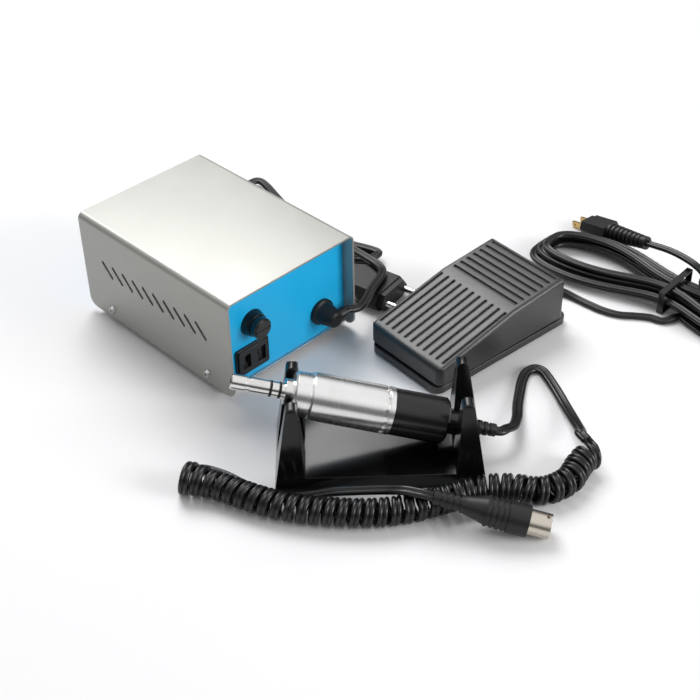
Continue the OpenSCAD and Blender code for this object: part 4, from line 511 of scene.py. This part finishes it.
# Control box, outside: a folded steel cover in silver-white hammered paint on a bare chassis,
# between two end panels in satin blue paint, on four pale rubber feet.
def rounded_shading(piece, sharp=32, join=0.000002):
    """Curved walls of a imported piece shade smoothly: its loose triangles are welded within the
    join's distance, and split again where they meet at more than the sharp angle, in degrees. Its
    own mesh stays."""
    piece.data.shade_smooth()
    weld = piece.modifiers.new("weld", "WELD")
    weld.merge_threshold = join
    split = piece.modifiers.new("creases", "EDGE_SPLIT")
    split.split_angle = math.radians(sharp)
    split.use_edge_sharp = False


def dress(material, *names):
    """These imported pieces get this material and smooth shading."""
    for name in names:
        piece = node[name]
        piece.data.materials.clear()
        piece.data.materials.append(material)
        rounded_shading(piece)


def painted_sheet_group():
    """Sprayed paint on sheet metal: small dimples in the coat, tiny bright flakes, soft clouds in the
    tone and edges shaded round."""
    group, given, out = effect_group(
        "painted_sheet",
        [("Colour", (0.6, 0.6, 0.6, 1)), ("Flake colour", (0.9, 0.9, 0.9, 1)), ("Flakes", 0.3),
         ("Dimple size", 0.0012), ("Dimple depth", 0.00003), ("Gloss", 0.4), ("Edge", 0.0004)])
    place = add_node(group, "TexCoord").outputs["Object"]
    finer = add_node(group, "Math", [(0, 1.0), (1, given.outputs["Dimple size"])], operation="DIVIDE")
    dimple = add_node(group, "TexNoise", [("Vector", place), ("Scale", finer.outputs[0]),
                                          ("Detail", 2.0)])
    flake = add_node(group, "TexVoronoi", [("Vector", place), ("Scale", 2600.0)])
    bright = remap(group, flake.outputs["Distance"], (0.35, 0.1), (0.0, 1.0))
    share = add_node(group, "Math", [(0, bright), (1, given.outputs["Flakes"])],
                     operation="MULTIPLY")
    cloud = add_node(group, "TexNoise", [("Vector", place), ("Scale", 22.0), ("Detail", 5.0),
                                         ("Roughness", 0.55)])
    tone = remap(group, cloud.outputs["Fac"], (0.3, 0.7), (0.95, 1.04))
    base = add_node(group, "VectorMath", [(0, given.outputs["Colour"]), (3, tone)],
                    operation="SCALE")
    mixed = add_node(group, "Mix", [("Factor", share.outputs[0]), (6, base.outputs[0]),
                                    (7, given.outputs["Flake colour"])], data_type="RGBA")
    swing = remap(group, cloud.outputs["Fac"], (0.3, 0.7), (-0.06, 0.06))
    gloss = add_node(group, "Math", [(0, swing), (1, given.outputs["Gloss"])], operation="ADD")
    soft = add_node(group, "Bevel", [("Radius", given.outputs["Edge"])], samples=4)
    bump = add_node(group, "Bump", [("Strength", 1.0), ("Distance", given.outputs["Dimple depth"]),
                                    ("Height", dimple.outputs["Fac"]), ("Normal", soft.outputs[0])])
    return put_out(group, out, Color=mixed.outputs[2], Roughness=gloss.outputs[0],
                   Normal=bump.outputs[0])


painted_sheet = painted_sheet_group()
silver_paint = finish("silver_paint", painted_sheet, {
    "Colour": (0.37, 0.368, 0.345, 1), "Flake colour": (0.60, 0.60, 0.58, 1), "Flakes": 0.35,
    "Dimple size": 0.0011, "Dimple depth": 0.00003, "Gloss": 0.36, "Edge": 0.0003},
    Metallic=0.45, Specular_IOR_Level=0.5)
blue_paint = finish("blue_paint", painted_sheet, {
    "Colour": (0.010, 0.43, 0.80, 1), "Flake colour": (0.03, 0.50, 0.86, 1), "Flakes": 0.15,
    "Dimple size": 0.0009, "Dimple depth": 0.00001, "Gloss": 0.38, "Edge": 0.0002},
    Specular_IOR_Level=0.4)
dress(silver_paint, "case_cover")
dress(blue_paint, "rear_panel", "front_panel")


def metal_group():
    """Machined or drawn metal: fine lines across the Along direction that change its gloss, a
    slow tarnish in the tone, and bright edges."""
    group, given, out = effect_group(
        "machined_metal",
        [("Colour", (0.6, 0.6, 0.6, 1)), ("Tarnish", (0.4, 0.4, 0.4, 1)), ("Along", (0.0, 0.0, 1.0)),
         ("Line size", 0.0002), ("Line depth", 0.000004), ("Gloss", 0.3), ("Edge", 0.0002)])
    place = add_node(group, "TexCoord").outputs["Object"]
    run = add_node(group, "VectorMath", [(0, place), (1, given.outputs["Along"])],
                   operation="DOT_PRODUCT")
    fine = add_node(group, "Math", [(0, run.outputs["Value"]), (1, given.outputs["Line size"])],
                    operation="DIVIDE")
    lines = add_node(group, "TexNoise", [("W", fine.outputs[0]), ("Scale", 1.0), ("Detail", 2.0)],
                     noise_dimensions="1D")
    cloud = add_node(group, "TexNoise", [("Vector", place), ("Scale", 60.0), ("Detail", 4.0)])
    worn = remap(group, cloud.outputs["Fac"], (0.45, 0.75), (0.0, 0.6))
    mixed = add_node(group, "Mix", [("Factor", worn), (6, given.outputs["Colour"]),
                                    (7, given.outputs["Tarnish"])], data_type="RGBA")
    swing = remap(group, lines.outputs["Fac"], (0.3, 0.7), (-0.05, 0.07))
    gloss = add_node(group, "Math", [(0, swing), (1, given.outputs["Gloss"])], operation="ADD")
    soft = add_node(group, "Bevel", [("Radius", given.outputs["Edge"])], samples=4)
    bump = add_node(group, "Bump", [("Strength", 1.0), ("Distance", given.outputs["Line depth"]),
                                    ("Height", lines.outputs["Fac"]), ("Normal", soft.outputs[0])])
    return put_out(group, out, Color=mixed.outputs[2], Roughness=gloss.outputs[0],
                   Normal=bump.outputs[0])


machined_metal = metal_group()
zinc_steel = finish("zinc_steel", machined_metal, {
    "Colour": (0.56, 0.56, 0.57, 1), "Tarnish": (0.42, 0.41, 0.39, 1), "Along": (0.0, 1.0, 0.3),
    "Line size": 0.0006, "Line depth": 0.000003, "Gloss": 0.38, "Edge": 0.0002}, Metallic=1.0)
dress(zinc_steel, "chassis", "cover_screws")
foot_rubber = finish("foot_rubber", moulded_skin, {
    "Colour": (0.62, 0.62, 0.60, 1), "Rubbed colour": (0.8, 0.8, 0.78, 1), "Grain size": 0.0008,
    "Grain depth": 0.00001, "Gloss": 0.35, "Gloss change": 0.1, "Edge": 0.0004},
    Subsurface_Weight=0.15, Subsurface_Scale=0.003)
dress(foot_rubber, "box_feet")


# Cord end of the box: a fuse holder whose cap has a screwdriver slot, a two-slot outlet for the
# pedal's plug and the bush of the mains cord, all moulded in black.
black_moulding = finish("black_moulding", moulded_skin, {
    "Colour": (0.005, 0.005, 0.0055, 1), "Rubbed colour": (0.02, 0.02, 0.02, 1),
    "Grain size": 0.0005, "Grain depth": 0.00001, "Gloss": 0.24, "Gloss change": 0.1,
    "Edge": 0.0004}, Specular_IOR_Level=0.5)
black_rubber = finish("black_rubber", moulded_skin, {
    "Colour": (0.006, 0.006, 0.006, 1), "Rubbed colour": (0.02, 0.02, 0.02, 1),
    "Grain size": 0.0004, "Grain depth": 0.00002, "Gloss": 0.42, "Gloss change": 0.15,
    "Edge": 0.0004}, Specular_IOR_Level=0.4)
dress(black_moulding, "fuse_holder", "fuse_cap", "pedal_outlet")
dress(black_rubber, "cord_bush")
clear_glass = finish("clear_glass", moulded_skin, {
    "Colour": (0.9, 0.93, 0.93, 1), "Rubbed colour": (1, 1, 1, 1), "Grain size": 0.002,
    "Grain depth": 0.000001, "Gloss": 0.08, "Gloss change": 0.04, "Edge": 0.0002},
    Transmission_Weight=0.9, IOR=1.5)
dress(clear_glass, "fuse")


# Control end of the box: a speed knob on its potentiometer, two rocker switches, the five-pin
# socket for the motor plug and a green lamp.
dress(black_moulding, "speed_knob", "power_switch", "direction_switch")
red_rocker = finish("red_rocker", moulded_skin, {
    "Colour": (0.42, 0.012, 0.01, 1), "Rubbed colour": (0.5, 0.06, 0.05, 1), "Grain size": 0.0006,
    "Grain depth": 0.000004, "Gloss": 0.22, "Gloss change": 0.08, "Edge": 0.0003},
    Coat_Weight=0.3)
dress(red_rocker, "power_rocker")
dress(black_moulding, "direction_rocker")
dress(zinc_steel, "speed_pot", "motor_socket")
green_lens = finish("green_lens", moulded_skin, {
    "Colour": (0.05, 0.5, 0.08, 1), "Rubbed colour": (0.2, 0.7, 0.3, 1), "Grain size": 0.001,
    "Grain depth": 0.000004, "Gloss": 0.12, "Gloss change": 0.05, "Edge": 0.0002},
    Transmission_Weight=0.4, IOR=1.5)
dress(green_lens, "indicator_lens")


# Inside the box: a transformer of stacked iron with its copper winding, and the speed control's
# circuit board on posts. The handpiece's magnets and armature share their finishes.
core_iron = finish("core_iron", machined_metal, {
    "Colour": (0.10, 0.10, 0.105, 1), "Tarnish": (0.16, 0.10, 0.07, 1), "Along": (0.0, 1.0, 0.0),
    "Line size": 0.0005, "Line depth": 0.00005, "Gloss": 0.5, "Edge": 0.0002}, Metallic=0.8)
dress(core_iron, "transformer_core", "stator_magnets")
copper_wire = finish("copper_wire", machined_metal, {
    "Colour": (0.60, 0.26, 0.12, 1), "Tarnish": (0.40, 0.15, 0.07, 1), "Along": (0.0, 0.0, 1.0),
    "Line size": 0.0007, "Line depth": 0.00015, "Gloss": 0.32, "Edge": 0.0003}, Metallic=0.9)
dress(copper_wire, "transformer_coil", "armature")
board_laminate = finish("board_laminate", moulded_skin, {
    "Colour": (0.012, 0.12, 0.05, 1), "Rubbed colour": (0.1, 0.3, 0.15, 1), "Grain size": 0.0016,
    "Grain depth": 0.00002, "Gloss": 0.25, "Gloss change": 0.1, "Edge": 0.0002}, Coat_Weight=0.4)
dress(board_laminate, "circuit_board")


# Foot pedal: a treadle with moulded ribs on a low base, both in black plastic with a fine grain,
# on a steel pin with a spring, a microswitch and its lever below, and rubber feet.
pedal_plastic = finish("pedal_plastic", moulded_skin, {
    "Colour": (0.014, 0.014, 0.015, 1), "Rubbed colour": (0.05, 0.05, 0.052, 1),
    "Grain size": 0.0006, "Grain depth": 0.00003, "Gloss": 0.36, "Gloss change": 0.14,
    "Edge": 0.0012}, Specular_IOR_Level=0.6)
dress(pedal_plastic, "treadle", "pedal_base")
dress(zinc_steel, "hinge_pin", "switch_lever")
dress(black_moulding, "microswitch")
dress(black_rubber, "pedal_gland", "pedal_feet")

spring_foot, spring_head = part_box("pedal_spring")
spring_mid = (spring_foot + spring_head) / 2
wire_d, coils = 0.0013, 7
spring_r = (spring_head.x - spring_foot.x) / 2 - wire_d / 2
s = np.linspace(0, 1, coils * 32 + 1)
low, high = spring_foot.z + wire_d / 2, spring_head.z - wire_d / 2
spring_line = np.stack([
    spring_mid.x + spring_r * np.cos(2 * np.pi * coils * s),
    spring_mid.y + spring_r * np.sin(2 * np.pi * coils * s), low + (high - low) * s], -1)
spring = vinyl_cord("return_spring", spring_line, (0, 0, 1), wire_d, wire_d, web=1.0)
spring_steel = finish("spring_steel", machined_metal, {
    "Colour": (0.50, 0.50, 0.51, 1), "Tarnish": (0.35, 0.33, 0.31, 1), "Along": (0.0, 0.0, 1.0),
    "Line size": 0.0003, "Line depth": 0.000003, "Gloss": 0.3, "Edge": 0.0001}, Metallic=1.0)
spring.data.materials.append(spring_steel)
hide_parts("pedal_spring")
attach(spring, "unit")
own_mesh(spring)


# Desk stand: one glossy black plastic moulding, a flat plate between two end walls that are each
# cut out in a deep notch. The handpiece lies in the notches.
stand_gloss = finish("stand_gloss", moulded_skin, {
    "Colour": (0.004, 0.004, 0.0045, 1), "Rubbed colour": (0.02, 0.02, 0.02, 1),
    "Grain size": 0.003, "Grain depth": 0.00001, "Gloss": 0.17, "Gloss change": 0.14,
    "Edge": 0.0006}, Specular_IOR_Level=0.35)
dress(stand_gloss, "stand")


# Handpiece: a turned aluminium motor body with a chromed coupling nose and two O-rings, a black
# rear sleeve and cap with a ribbed relief, and the motor inside.
lathe = tuple(float(v) for v in hand_way)
satin_aluminium = finish("satin_aluminium", machined_metal, {
    "Colour": (0.80, 0.80, 0.80, 1), "Tarnish": (0.72, 0.71, 0.70, 1), "Along": lathe,
    "Line size": 0.00012, "Line depth": 0.000001, "Gloss": 0.24, "Edge": 0.0003}, Metallic=1.0)
dress(satin_aluminium, "front_ring", "motor_sleeve")
bright_chrome = finish("bright_chrome", machined_metal, {
    "Colour": (0.74, 0.73, 0.72, 1), "Tarnish": (0.62, 0.60, 0.58, 1), "Along": lathe,
    "Line size": 0.0003, "Line depth": 0.000001, "Gloss": 0.10, "Edge": 0.0002}, Metallic=1.0)
dress(bright_chrome, "coupling_nose", "euro_pins")
dress(black_rubber, "nose_o_rings", "handpiece_relief")
dress(black_moulding, "rear_sleeve", "rear_cap")
dress(zinc_steel, "shaft_bearings", "rotor_shaft", "drive_dog")
brass = finish("machined_brass", machined_metal, {
    "Colour": (0.62, 0.44, 0.18, 1), "Tarnish": (0.45, 0.30, 0.12, 1), "Along": lathe,
    "Line size": 0.0003, "Line depth": 0.000003, "Gloss": 0.28, "Edge": 0.0002}, Metallic=1.0)
dress(brass, "commutator", "din_pins", "plug_blades")
brush_resin = finish("brush_resin", moulded_skin, {
    "Colour": (0.14, 0.06, 0.03, 1), "Rubbed colour": (0.3, 0.16, 0.1, 1), "Grain size": 0.0006,
    "Grain depth": 0.00002, "Gloss": 0.4, "Gloss change": 0.1, "Edge": 0.0002})
dress(brush_resin, "brush_gear")


# Plugs: the motor plug is a nickel shell in a ribbed rubber boot, and the mains plug and the
# pedal's two-blade plug are moulded onto their cords. Black ties hold the hanks.
warm_nickel = finish("warm_nickel", machined_metal, {
    "Colour": (0.60, 0.55, 0.48, 1), "Tarnish": (0.46, 0.41, 0.35, 1),
    "Along": tuple(float(v) for v in din_way), "Line size": 0.0003, "Line depth": 0.000003,
    "Gloss": 0.25, "Edge": 0.0002}, Metallic=1.0)
dress(warm_nickel, "din_shell")
dress(black_rubber, "din_boot", "euro_plug", "pedal_plug")
dress(black_moulding, "cord_ties")
